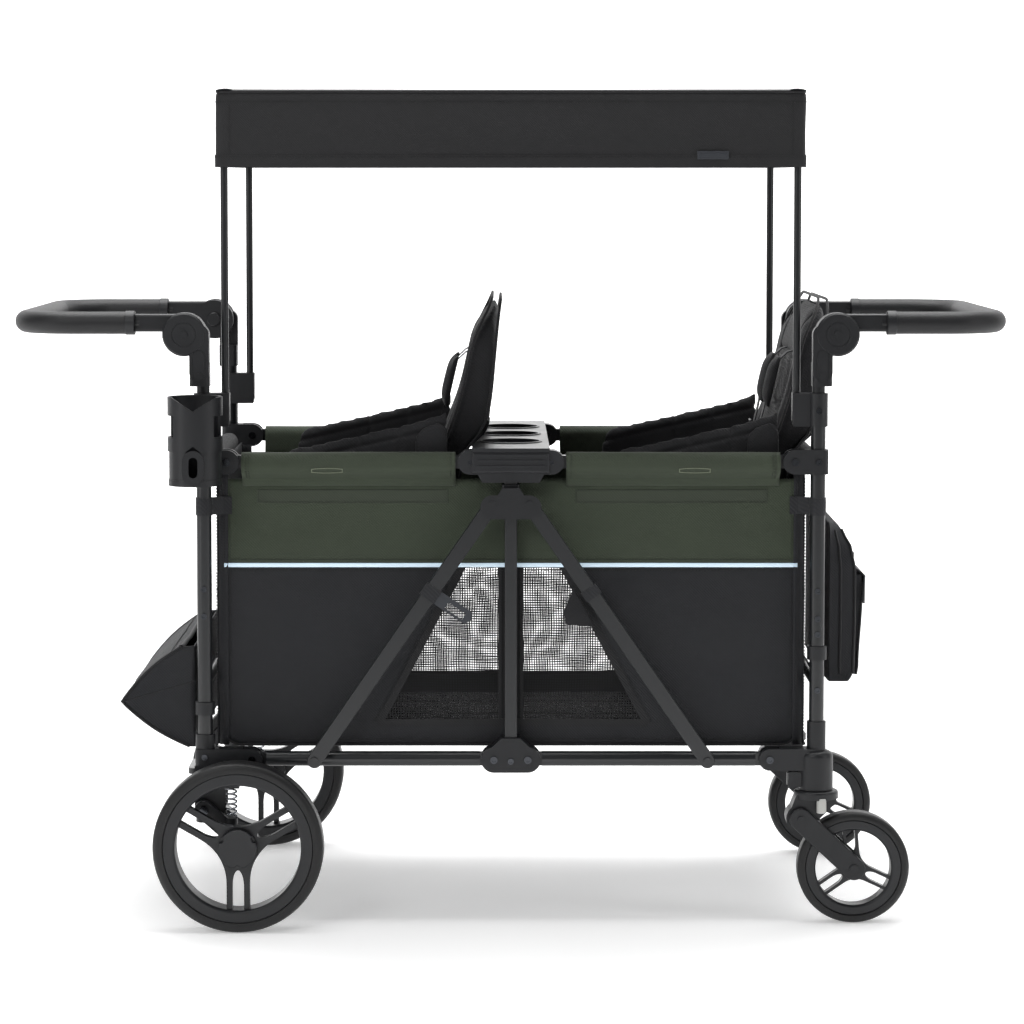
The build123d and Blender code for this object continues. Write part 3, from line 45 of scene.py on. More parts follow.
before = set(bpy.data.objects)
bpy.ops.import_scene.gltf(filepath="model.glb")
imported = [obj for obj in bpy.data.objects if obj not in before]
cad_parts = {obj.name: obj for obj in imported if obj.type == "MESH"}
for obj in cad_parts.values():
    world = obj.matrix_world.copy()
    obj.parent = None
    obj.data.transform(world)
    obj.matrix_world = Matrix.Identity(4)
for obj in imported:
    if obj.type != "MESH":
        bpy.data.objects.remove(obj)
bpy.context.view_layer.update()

import math

import bmesh
import bpy
from mathutils import Matrix, Vector, noise


# ---- Places that come from the frame -------------------------------------------------------------
def middle(node):
    """Centre of a node's box."""
    low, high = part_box(node)
    return (low + high) / 2


POST_RADIUS = 0.011
POST_X = -middle("rear_posts").x
POST_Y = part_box("rear_posts")[1].y - POST_RADIUS
RAIL_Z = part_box("rear_top_rails")[0].z + POST_RADIUS
LOW_RAIL_Z = middle("rear_bottom_rails").z
FLOOR_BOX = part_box("floor_mat")
WALL_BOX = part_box("side_panels")
WALL_Y = FLOOR_BOX[1].y + 0.003
WALL_BOTTOM = WALL_BOX[0].z
WALL_END = WALL_BOX[1].x
END_PANEL_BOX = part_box("rear_end_panel")
CANOPY_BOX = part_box("canopy_cover")
BACK_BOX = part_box("rear_seat_back")
PAN_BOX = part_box("seat_pans")
BASKET_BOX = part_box("storage_basket")
BAG_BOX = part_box("organiser_bag")
SEAT_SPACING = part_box("front_seat_back")[0].x - BACK_BOX[0].x


# ---- Sizes and colours a user would change -------------------------------------------------------
def linear(text):
    """Linear colour of an sRGB hex value."""
    values = [int(text[i:i + 2], 16) / 255 for i in (0, 2, 4)]
    return (*[v / 12.92 if v <= 0.04045 else ((v + 0.055) / 1.055) ** 2.4 for v in values], 1.0)


def colour_property(name, description, text):
    return bpy.props.FloatVectorProperty(name=name, description=description, subtype="COLOR",
                                         size=4, min=0.0, max=1.0, default=linear(text))


def length_property(name, description, default):
    return bpy.props.FloatProperty(name=name, description=description, default=default,
                                   min=0.0, unit="LENGTH", precision=4)


class WagonColours(bpy.types.PropertyGroup):
    """Colours of the cloth, the metal and the plastic."""

    body_cloth: colour_property("Body cloth", "Upper band of the side walls", "3A4234")
    lower_cloth: colour_property("Lower cloth", "Lower band, ends, basket and bag", "1B1C20")
    canopy_cloth: colour_property("Canopy cloth", "Cover over the hoops", "1C1C1E")
    seat_cloth: colour_property("Seat cloth", "Seats, wings and harness pads", "1A1A1D")
    frame_coat: colour_property("Frame coat", "Powder coat of the tubes", "16181B")
    plastic: colour_property("Plastic", "Brackets, hubs and wheels", "1A1B1E")
    console: colour_property("Console", "Cup tray and its ends", "232427")
    tyre: colour_property("Tyre", "Wheel treads", "161617")
    # Also the colour of the piping's painted glow.
    piping: colour_property("Piping", "Reflective line on the walls", "D8EEFF")


class WagonSizes(bpy.types.PropertyGroup):
    """Sizes of the sewn details."""

    piping_width: length_property("Piping width", "Height of the reflective line", 0.0062)
    band_height: length_property("Band height", "Where the two wall colours meet", 0.530)
    stitch_pitch: length_property("Stitch pitch", "Distance from one stitch to the next", 0.0048)
    strap_width: length_property("Strap width", "Harness webbing", 0.025)
    hem_width: length_property("Hem width", "Turned edges of the cloth", 0.018)


# ---- Materials -----------------------------------------------------------------------------------
def node(tree, kind, inputs, out=0, **settings):
    """Adds a node with its settings, fills or links its inputs, and returns one output."""
    made = tree.nodes.new("ShaderNode" + kind)
    for name, value in settings.items():
        setattr(made, name, value)
    for name, value in inputs.items():
        if isinstance(value, bpy.types.NodeSocket):
            tree.links.new(value, made.inputs[name])
        else:
            made.inputs[name].default_value = value
    return made.outputs[out]


def shade(colour, factor):
    """The colour made darker or lighter by a factor."""
    return (*[min(1.0, value * factor) for value in colour[:3]], 1.0)


def new_material(name, **constants):
    """New material; the constants go on the shader's own sockets."""
    material = bpy.data.materials.new(name)
    material.use_nodes = True
    tree = material.node_tree
    for socket, value in constants.items():
        tree.nodes["Principled BSDF"].inputs[socket.replace("_", " ")].default_value = value
    return material, tree, node(tree, "TexCoord", {}, "Object")


def finish_surface(material, colour, tone, spread, roughness, height, relief):
    """Colour that a tone from 0 to 1 varies, a roughness range, and relief in metres."""
    tree = material.node_tree
    shader = tree.nodes["Principled BSDF"]
    low, high = shade(colour, 1 - spread), shade(colour, 1 + spread)
    tint = node(tree, "Mix", {0: tone, 6: low, 7: high}, 2, data_type="RGBA")
    rough = node(tree, "MapRange", {"Value": tone, "To Min": roughness[0],
                                    "To Max": roughness[1]})
    bumps = node(tree, "Bump", {"Height": height, "Distance": relief, "Strength": 0.8})
    for socket, value in (("Base Color", tint), ("Roughness", rough), ("Normal", bumps)):
        tree.links.new(value, shader.inputs[socket])
    return material


def woven_cloth(name, colour, pitch, roughness, sheen, crease):
    """Woven polyester: reads matt, with a fine thread pattern and soft creases in the light.

    The real threads are under half a millimetre apart; pitch is coarser so that they show.
    """
    material, tree, place = new_material(name, IOR=1.5, Sheen_Weight=sheen, Sheen_Roughness=0.4)
    x, y, z = (node(tree, "SeparateXYZ", {"Vector": place}, i) for i in range(3))
    turn = math.pi / pitch
    warp = node(tree, "Math", {0: x, 1: y}, operation="ADD")
    warp = node(tree, "Math", {0: warp, 1: turn}, operation="MULTIPLY")
    weft = node(tree, "Math", {0: z, 1: y}, operation="SUBTRACT")
    weft = node(tree, "Math", {0: weft, 1: turn}, operation="MULTIPLY")
    warp = node(tree, "Math", {0: warp}, operation="SINE")
    weft = node(tree, "Math", {0: weft}, operation="SINE")
    threads = node(tree, "Math", {0: warp, 1: weft}, operation="MULTIPLY")
    fibre = node(tree, "TexNoise", {"Vector": place, "Scale": 1.6 / pitch, "Detail": 3.0})
    cloudy = node(tree, "TexNoise", {"Vector": place, "Scale": 1 / 0.12, "Detail": 3.0})
    tone = node(tree, "Math", {0: threads, 1: 0.18, 2: cloudy}, operation="MULTIPLY_ADD")
    tone = node(tree, "Math", {0: fibre, 1: 0.5, 2: tone}, operation="MULTIPLY_ADD")
    tone = node(tree, "Math", {0: tone, 1: 0.25}, operation="SUBTRACT", use_clamp=True)
    folds = node(tree, "TexNoise", {"Vector": place, "Scale": 1 / 0.05, "Detail": 4.0})
    threads = node(tree, "Math", {0: threads, 1: 0.05}, operation="MULTIPLY")
    height = node(tree, "Math", {0: folds, 1: threads}, operation="ADD")
    return finish_surface(material, colour, tone, 0.22, roughness, height, crease)


def moulded_plastic(name, colour, roughness, grain):
    """Injection-moulded nylon or polypropylene: even, with a fine grain and a soft sheen."""
    material, tree, place = new_material(name, IOR=1.5)
    texture = node(tree, "TexNoise", {"Vector": place, "Scale": 1 / grain, "Detail": 2.0})
    worn = node(tree, "TexNoise", {"Vector": place, "Scale": 1 / 0.045, "Detail": 3.0})
    tone = node(tree, "Math", {0: texture, 1: 0.4, 2: worn}, operation="MULTIPLY_ADD")
    tone = node(tree, "Math", {0: tone, 1: 0.2}, operation="SUBTRACT", use_clamp=True)
    return finish_surface(material, colour, tone, 0.10, roughness, texture, 0.0001)


def powder_coat(name, colour):
    """Satin powder coat on aluminium: faint orange peel, with a clear cool highlight."""
    material, tree, place = new_material(name, IOR=1.52, Coat_Weight=0.35, Coat_Roughness=0.18)
    peel = node(tree, "TexNoise", {"Vector": place, "Scale": 1 / 0.0016, "Detail": 2.0})
    dull = node(tree, "TexNoise", {"Vector": place, "Scale": 1 / 0.08, "Detail": 3.0})
    return finish_surface(material, colour, dull, 0.10, (0.30, 0.42), peel, 0.00005)


def foam_tread(name, colour):
    """Moulded polyurethane tyre: matt and faintly pitted, with dust-dulled patches."""
    material, tree, place = new_material(name, IOR=1.5)
    pits = node(tree, "TexNoise", {"Vector": place, "Scale": 1 / 0.0018, "Detail": 3.0})
    dust = node(tree, "TexNoise", {"Vector": place, "Scale": 1 / 0.03, "Detail": 4.0})
    return finish_surface(material, colour, dust, 0.16, (0.42, 0.58), pits, 0.00015)


def grained_leather(name, colour):
    """Polyurethane leather over foam: a fine pebble grain that catches small highlights."""
    material, tree, place = new_material(name, IOR=1.48)
    cells = node(tree, "TexVoronoi", {"Vector": place, "Scale": 1 / 0.0022}, "Distance")
    return finish_surface(material, colour, cells, 0.16, (0.44, 0.58), cells, 0.0002)


def plated_steel(name, colour, roughness):
    """Plated steel: a bright metal whose fine marks spread its highlight."""
    material, tree, place = new_material(name, Metallic=1.0)
    marks = node(tree, "TexNoise", {"Vector": place, "Scale": 1 / 0.0012, "Detail": 3.0})
    return finish_surface(material, colour, marks, 0.14, roughness, marks, 0.00003)


def ribbed_webbing(name, colour, rib):
    """Woven nylon webbing: cross ribs that stand out along its length."""
    material, tree, place = new_material(name, IOR=1.5, Sheen_Weight=0.1)
    ribs = node(tree, "TexWave", {"Vector": place, "Scale": 0.3 / rib, "Distortion": 0.6},
                "Fac", bands_direction="DIAGONAL")
    return finish_surface(material, colour, ribs, 0.22, (0.6, 0.8), ribs, 0.0002)


def bead_tape_with_painted_glow(name, colour):
    """Reflective tape of tiny glass beads: pale, slightly blue, with a painted glow from emission
    that stands in for the light the beads throw back.
    """
    # Painted glow: emission in the tape's own colour makes it brighter than the light falling on
    # it.
    material, tree, place = new_material(name, IOR=1.6, Emission_Color=tuple(colour),
                                         Emission_Strength=0.30)
    beads = node(tree, "TexNoise", {"Vector": place, "Scale": 1 / 0.0015, "Detail": 2.0})
    return finish_surface(material, colour, beads, 0.05, (0.25, 0.5), beads, 0.0001)


FINISHES = {}


def finish(key):
    """The shared material of that key, made when it is first asked for."""
    if key not in FINISHES:
        FINISHES[key] = make_finish(key, bpy.context.scene.wagon_colours)
    return FINISHES[key]


def make_finish(key, colours):
    cloth, plastic, tape_of = woven_cloth, moulded_plastic, ribbed_webbing
    recipes = {
        "body_cloth": (cloth, "polyester_oxford_green", colours.body_cloth, 0.0022,
                       (0.76, 0.88), 0.10, 0.004),
        "lower_cloth": (cloth, "polyester_oxford_black", colours.lower_cloth, 0.0022,
                        (0.66, 0.80), 0.04, 0.004),
        "canopy_cloth": (cloth, "coated_polyester_canopy", colours.canopy_cloth, 0.0018,
                         (0.62, 0.74), 0.04, 0.003),
        "seat_cloth": (cloth, "polyester_seat_cover", colours.seat_cloth, 0.0024,
                       (0.72, 0.84), 0.08, 0.006),
        "net": (plastic, "knitted_polyester_net", linear("101012"), (0.7, 0.8), 0.002),
        "frame_coat": (powder_coat, "powder_coated_aluminium", colours.frame_coat),
        "plastic": (plastic, "glass_filled_nylon", colours.plastic, (0.38, 0.50), 0.0014),
        "wheel_plastic": (plastic, "moulded_nylon_wheel", colours.plastic, (0.30, 0.42),
                          0.0014),
        "console": (plastic, "polypropylene_tray", colours.console, (0.28, 0.38), 0.0016),
        "tyre": (foam_tread, "polyurethane_tyre", colours.tyre),
        "grip": (grained_leather, "polyurethane_leather_grip", linear("1B1B1D")),
        "screw": (plated_steel, "black_zinc_screw", linear("4A4C50"), (0.12, 0.24)),
        "spring": (plated_steel, "chromed_spring_steel", linear("C9CCD2"), (0.10, 0.24)),
        # The piping tape has a painted glow from emission.
        "piping": (bead_tape_with_painted_glow, "reflective_bead_tape", colours.piping),
        "webbing": (tape_of, "nylon_webbing", linear("1C1D21"), 0.003),
        "binding": (tape_of, "binding_tape_black", linear("131316"), 0.002),
        "green_binding": (tape_of, "binding_tape_green", shade(colours.body_cloth, 0.85), 0.002),
        "dark_thread": (tape_of, "sewing_thread_black", linear("0F0F11"), 0.001),
        "green_thread": (tape_of, "sewing_thread_green", shade(colours.body_cloth, 0.5), 0.001),
        "pale_thread": (tape_of, "sewing_thread_pale", linear("7E8570"), 0.001),
        "elastomer": (plastic, "white_elastomer", linear("C8C8C4"), (0.45, 0.55), 0.002),
        "grey_tab": (plastic, "rubberised_tab_grey", linear("33363C"), (0.5, 0.6), 0.0015),
        "zip": (plastic, "nylon_zip_coil", linear("0E0E10"), (0.3, 0.4), 0.001),
    }
    maker, *values = recipes[key]
    return maker(*values)


# ---- Making pieces -------------------------------------------------------------------------------
def piece(name, shape, body, key, smooth=True, keys=()):
    """Turns a bmesh into a piece that rides on a body, with its finish and material slot."""
    bmesh.ops.recalc_face_normals(shape, faces=shape.faces[:])
    mesh = bpy.data.meshes.new(name)
    shape.to_mesh(mesh)
    shape.free()
    for each in (key, *keys):
        mesh.materials.append(finish(each))
    if smooth:
        mesh.shade_smooth()
    thing = bpy.data.objects.new(name, mesh)
    bpy.context.scene.collection.objects.link(thing)
    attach(thing, body)
    return thing


def final_mesh(thing):
    """Applies a piece's modifiers to its mesh."""
    graph = bpy.context.evaluated_depsgraph_get()
    mesh = bpy.data.meshes.new_from_object(thing.evaluated_get(graph))
    thing.modifiers.clear()
    thing.data = mesh
    return thing


def wall_thickness(thing, thickness):
    """Gives a sheet its cloth's thickness, half to each side."""
    solid = thing.modifiers.new("Cloth thickness", "SOLIDIFY")
    solid.thickness = thickness
    solid.offset = 0.0
    return thing


def crumple(thing, anchor_x=-WALL_END):
    """Applies the piece's modifiers and gives it a mesh of its own."""
    final_mesh(thing)
    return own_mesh(thing)


def box_shape(low, high, shape=None):
    """A closed block from one corner to the other."""
    shape = shape or bmesh.new()
    low, high = Vector(low), Vector(high)
    place = Matrix.Translation((low + high) / 2) @ Matrix.Diagonal((*(high - low), 1.0))
    made = bmesh.ops.create_cube(shape, size=1.0, matrix=place)
    return shape, made["verts"]


def edges_of(verts):
    return list({edge for vert in verts for edge in vert.link_edges})


def soften(shape, edges, width, segments=2):
    return bmesh.ops.bevel(shape, geom=edges, offset=width, segments=segments, profile=0.5,
                           affect="EDGES", material=-1, clamp_overlap=True)


def across(shape):
    """Adds the mirror image of everything in the shape on the other side of the wagon."""
    copy = bmesh.ops.duplicate(shape, geom=shape.verts[:] + shape.edges[:] + shape.faces[:])
    verts = [item for item in copy["geom"] if isinstance(item, bmesh.types.BMVert)]
    faces = [item for item in copy["geom"] if isinstance(item, bmesh.types.BMFace)]
    bmesh.ops.scale(shape, vec=(1, -1, 1), verts=verts)
    bmesh.ops.reverse_faces(shape, faces=faces)
    return shape


def turned_end(shape):
    """Turns everything in the shape half round, from the rear end to the front end."""
    bmesh.ops.rotate(shape, cent=(0, 0, 0), matrix=Matrix.Rotation(math.pi, 3, "Z"),
                     verts=shape.verts[:])
    return shape


def cord_line(shape, points, radius, closed=False, sides=8, smooth=False):
    """Round piping or rod along points, made from a bevelled curve."""
    curve = bpy.data.curves.new("line", "CURVE")
    curve.dimensions = "3D"
    curve.bevel_depth = radius
    curve.bevel_resolution = max(0, sides // 2 - 2)
    curve.use_fill_caps = not closed
    line = curve.splines.new("NURBS" if smooth else "POLY")
    line.points.add(len(points) - 1)
    for point, place in zip(line.points, points):
        point.co = (*place, 1.0)
    if smooth:
        line.order_u = 3
        line.use_endpoint_u = not closed
    line.use_cyclic_u = closed
    holder = bpy.data.objects.new("line", curve)
    bpy.context.scene.collection.objects.link(holder)
    graph = bpy.context.evaluated_depsgraph_get()
    mesh = bpy.data.meshes.new_from_object(holder.evaluated_get(graph))
    shape.from_mesh(mesh)
    bpy.data.objects.remove(holder)
    bpy.data.meshes.remove(mesh)
    bpy.data.curves.remove(curve)
    return shape


def tape(shape, points, across_way, width, thickness):
    """Flat strap along points: an edge as wide as the strap, extruded, then given thickness."""
    half = Vector(across_way).normalized() * width / 2
    first = [shape.verts.new(Vector(points[0]) + side * half) for side in (-1, 1)]
    edge = shape.edges.new(first)
    faces = []
    for before, after in zip(points, points[1:]):
        made = bmesh.ops.extrude_edge_only(shape, edges=[edge])["geom"]
        new = [item for item in made if isinstance(item, bmesh.types.BMVert)]
        bmesh.ops.translate(shape, vec=Vector(after) - Vector(before), verts=new)
        edge = next(item for item in made if isinstance(item, bmesh.types.BMEdge)
                    and all(vert in new for vert in item.verts))
        faces += [item for item in made if isinstance(item, bmesh.types.BMFace)]
    bmesh.ops.recalc_face_normals(shape, faces=faces)
    bmesh.ops.solidify(shape, geom=faces, thickness=thickness)
    return shape


def stitches(shape, points, pitch, length=0.62, radius=0.0005, lift=(0, 0, 0)):
    """A row of stitches along points, each a small bar that follows the line."""
    lengths = [0.0]
    for before, after in zip(points, points[1:]):
        lengths.append(lengths[-1] + (Vector(after) - Vector(before)).length)
    count = max(1, int(lengths[-1] / pitch))
    leg = 0
    for number in range(count):
        along = (number + 0.5) * lengths[-1] / count
        while leg < len(points) - 2 and lengths[leg + 1] < along:
            leg += 1
        start, end = Vector(points[leg]), Vector(points[leg + 1])
        share = (along - lengths[leg]) / max(1e-9, lengths[leg + 1] - lengths[leg])
        turn = (end - start).to_track_quat("X", "Z").to_matrix().to_4x4()
        place = (Matrix.Translation(start.lerp(end, share) + Vector(lift)) @ turn
                 @ Matrix.Diagonal((pitch * length, 2 * radius, 2 * radius, 1.0)))
        bmesh.ops.create_cube(shape, size=1.0, matrix=place)
    return shape


def band(shape, centre, axis, inner, outer, width, rounding=0.0008, segments=40):
    """Closed band round an axis: a rectangle with cut corners, spun full circle."""
    axis = Vector(axis).normalized()
    side = axis.orthogonal().normalized()
    half, cut = width / 2, rounding
    corners = [(inner, -half + cut), (inner + cut, -half), (outer - cut, -half),
               (outer, -half + cut), (outer, half - cut), (outer - cut, half),
               (inner + cut, half), (inner, half - cut)]
    verts = [shape.verts.new(Vector(centre) + side * r + axis * h) for r, h in corners]
    edges = [shape.edges.new((verts[i - 1], verts[i])) for i in range(len(verts))]
    bmesh.ops.spin(shape, geom=verts + edges, cent=centre, axis=axis, angle=2 * math.pi,
                   steps=segments, use_merge=True, use_duplicate=False)
    return shape


def grid_block(shape, low, high, cuts):
    """A closed block whose sides are divided into a grid, cuts times along x, y and z."""
    block, _ = box_shape(low, high)
    for axis, count in enumerate(cuts):
        normal = [float(other == axis) for other in range(3)]
        for number in range(1, count + 1):
            place = Vector(low).lerp(Vector(high), number / (count + 1))
            bmesh.ops.bisect_plane(block, geom=[*block.verts, *block.edges, *block.faces],
                                   plane_co=place, plane_no=normal)
    mesh = bpy.data.meshes.new("block")
    block.to_mesh(mesh)
    block.free()
    before = len(shape.verts)
    shape.from_mesh(mesh)
    bpy.data.meshes.remove(mesh)
    shape.verts.ensure_lookup_table()
    return shape.verts[before:]


def flat_grid(shape, corner, along, up, columns, rows):
    """A flat grid of quads that starts at a corner and spans two directions."""
    corner, along, up = Vector(corner), Vector(along), Vector(up)
    centre = corner + along / 2 + up / 2
    place = Matrix.Identity(4)
    place.col[0][:3] = along / 2
    place.col[1][:3] = up / 2
    place.col[2][:3] = along.cross(up).normalized()
    place.col[3][:3] = centre
    made = bmesh.ops.create_grid(shape, x_segments=columns, y_segments=rows, size=1.0,
                                 matrix=place)
    return made["verts"]


def soft_noise(place, size, seed=0.0):
    """Smooth noise from -1 to 1 with blotches of about that size."""
    return noise.noise(Vector(place) / size + Vector((seed, seed * 1.7, -seed)))


def push(shape, move):
    """Moves each vertex of a bmesh to what move(point) returns."""
    for vert in shape.verts:
        vert.co = move(vert.co.copy())


def smooth_step(value, start, end):
    share = min(1.0, max(0.0, (value - start) / (end - start)))
    return share * share * (3 - 2 * share)


def groove(distance, width):
    """How deep a sewn line pulls the cloth in at a distance from it, from 1 down to 0."""
    return math.exp(-(distance / width) ** 2)


def inflate(thing, cap, pressure=4.0, voxel=0.006):
    """Blows a closed pad up as cloth, lets no point move further than cap, and keeps the result."""
    remesh = thing.modifiers.new("Even mesh", "REMESH")
    remesh.mode = "VOXEL"
    remesh.voxel_size = voxel
    remesh.use_smooth_shade = True
    final_mesh(thing)
    begin = [vert.co.copy() for vert in thing.data.vertices]
    cloth = thing.modifiers.new("Filling", "CLOTH")
    cloth.settings.use_pressure = True
    cloth.settings.uniform_pressure_force = pressure
    cloth.settings.effector_weights.gravity = 0.0
    cloth.settings.quality = 4
    cloth.collision_settings.use_collision = False
    cloth.point_cache.frame_start, cloth.point_cache.frame_end = 1, SIMULATED_FRAMES
    for number in range(1, SIMULATED_FRAMES + 1):
        bpy.context.scene.frame_set(number)
    final_mesh(thing)
    bpy.context.scene.frame_set(1)
    for vert, start in zip(thing.data.vertices, begin):
        moved = vert.co - start
        if moved.length > cap:
            vert.co = start + moved * (cap / moved.length)
    shape = bmesh.new()
    shape.from_mesh(thing.data)
    for _ in range(3):
        bmesh.ops.smooth_vert(shape, verts=shape.verts[:], factor=0.5, use_axis_x=True,
                              use_axis_y=True, use_axis_z=True)
    shape.to_mesh(thing.data)
    shape.free()
    return thing


def one_finer(thing):
    """One level of subdivision, applied."""
    finer = thing.modifiers.new("Finer", "SUBSURF")
    finer.levels = finer.render_levels = 1
    return final_mesh(thing)


def sew(thing, depth_at):
    """Presses a pad in along its seams: depth_at(point) is how far each point moves inwards."""
    normals = [vert.normal.copy() for vert in thing.data.vertices]
    for vert, normal in zip(thing.data.vertices, normals):
        vert.co -= normal * depth_at(vert.co)
    thing.data.update()
    return thing


SIMULATED_FRAMES = 20


# ---- Frame ---------------------------------------------------------------------------------------
class WAGON_OT_finish_frame(bpy.types.Operator):
    """Gives every tube, bracket, wheel and screw its real finish"""

    bl_idname = "wagon.finish_frame"
    bl_label = "Finish the frame"

    def execute(self, context):
        by_word = (("tyre", "tyre"), ("screws", "screw"), ("bolts", "screw"), ("grip", "grip"),
                   ("wheel", "wheel_plastic"), ("console", "console"), ("posts", "frame_coat"),
                   ("rails", "frame_coat"), ("braces", "frame_coat"), ("tubes", "frame_coat"),
                   ("hoop", "frame_coat"), ("brake_bar", "frame_coat"))
        for name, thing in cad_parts.items():
            key = next((key for word, key in by_word if word in name), "plastic")
            thing.data.materials.clear()
            thing.data.materials.append(finish(key))
        return {"FINISHED"}


# ---- Side walls ----------------------------------------------------------------------------------
WINDOW_TOP = (-0.066, 0.072)
WINDOW_FOOT = (-0.190, 0.197)
WINDOW_FOOT_Z = 0.295
STRIP_HALF = 0.016
SLEEVE_REACH = (0.0815, 0.396)
SLEEVE_RADIUS = 0.0160


def wall_y(x, z):
    """How far out the side wall's cloth lies: it pillows between its seams and creases a little."""
    band = bpy.context.scene.wagon_sizes.band_height
    ends = max(0.0, 1 - (abs(x) / WALL_END) ** 6)
    centre = smooth_step(abs(x), 0.02, 0.16)
    if z < band:
        rise = max(0.0, 1 - abs(2 * (z - WALL_BOTTOM) / (band - WALL_BOTTOM) - 1) ** 3)
    else:
        rise = 0.55 * max(0.0, 1 - abs(2 * (z - band) / (RAIL_Z - band) - 1) ** 3)
    crease = soft_noise((x * 0.5, 0.0, z * 1.6), 0.09, 3.0) + 0.5 * soft_noise((x, 0, z), 0.035, 8)
    return WALL_Y + 0.0052 * ends * centre * rise + 0.0016 * crease * ends * (0.25 + 0.75 * centre)


def window_edge(z, side):
    """X of the window's slanted edge at a height; side is 0 at the rear, 1 at the front."""
    band = bpy.context.scene.wagon_sizes.band_height
    share = (band - z) / (band - WINDOW_FOOT_Z)
    return WINDOW_TOP[side] + share * (WINDOW_FOOT[side] - WINDOW_TOP[side])


def wall_line(points, proud=0.0):
    """Points in x and z, laid on the near side wall's outer face."""
    return [Vector((x, -wall_y(x, z) - 0.0013 - proud, z)) for x, z in points]


def dense(points, step=0.012):
    """Adds points along a line of x, z pairs."""
    filled = []
    for (x0, z0), (x1, z1) in zip(points, points[1:]):
        count = max(1, int(math.hypot(x1 - x0, z1 - z0) / step))
        filled += [(x0 + (x1 - x0) * i / count, z0 + (z1 - z0) * i / count)
                   for i in range(count)]
    return filled + [points[-1]]


def near_or_far(shape, side):
    """Leaves the shape on the near side, or carries it over to the far one."""
    if side > 0:
        bmesh.ops.scale(shape, vec=(1, -1, 1), verts=shape.verts[:])
        bmesh.ops.reverse_faces(shape, faces=shape.faces[:])
    return shape


def rounded_corner(x, z, start, turn, radius, steps=6):
    """Points of a quarter round about x, z."""
    return [(x + radius * math.cos(start + turn * i / steps),
             z + radius * math.sin(start + turn * i / steps)) for i in range(steps + 1)]


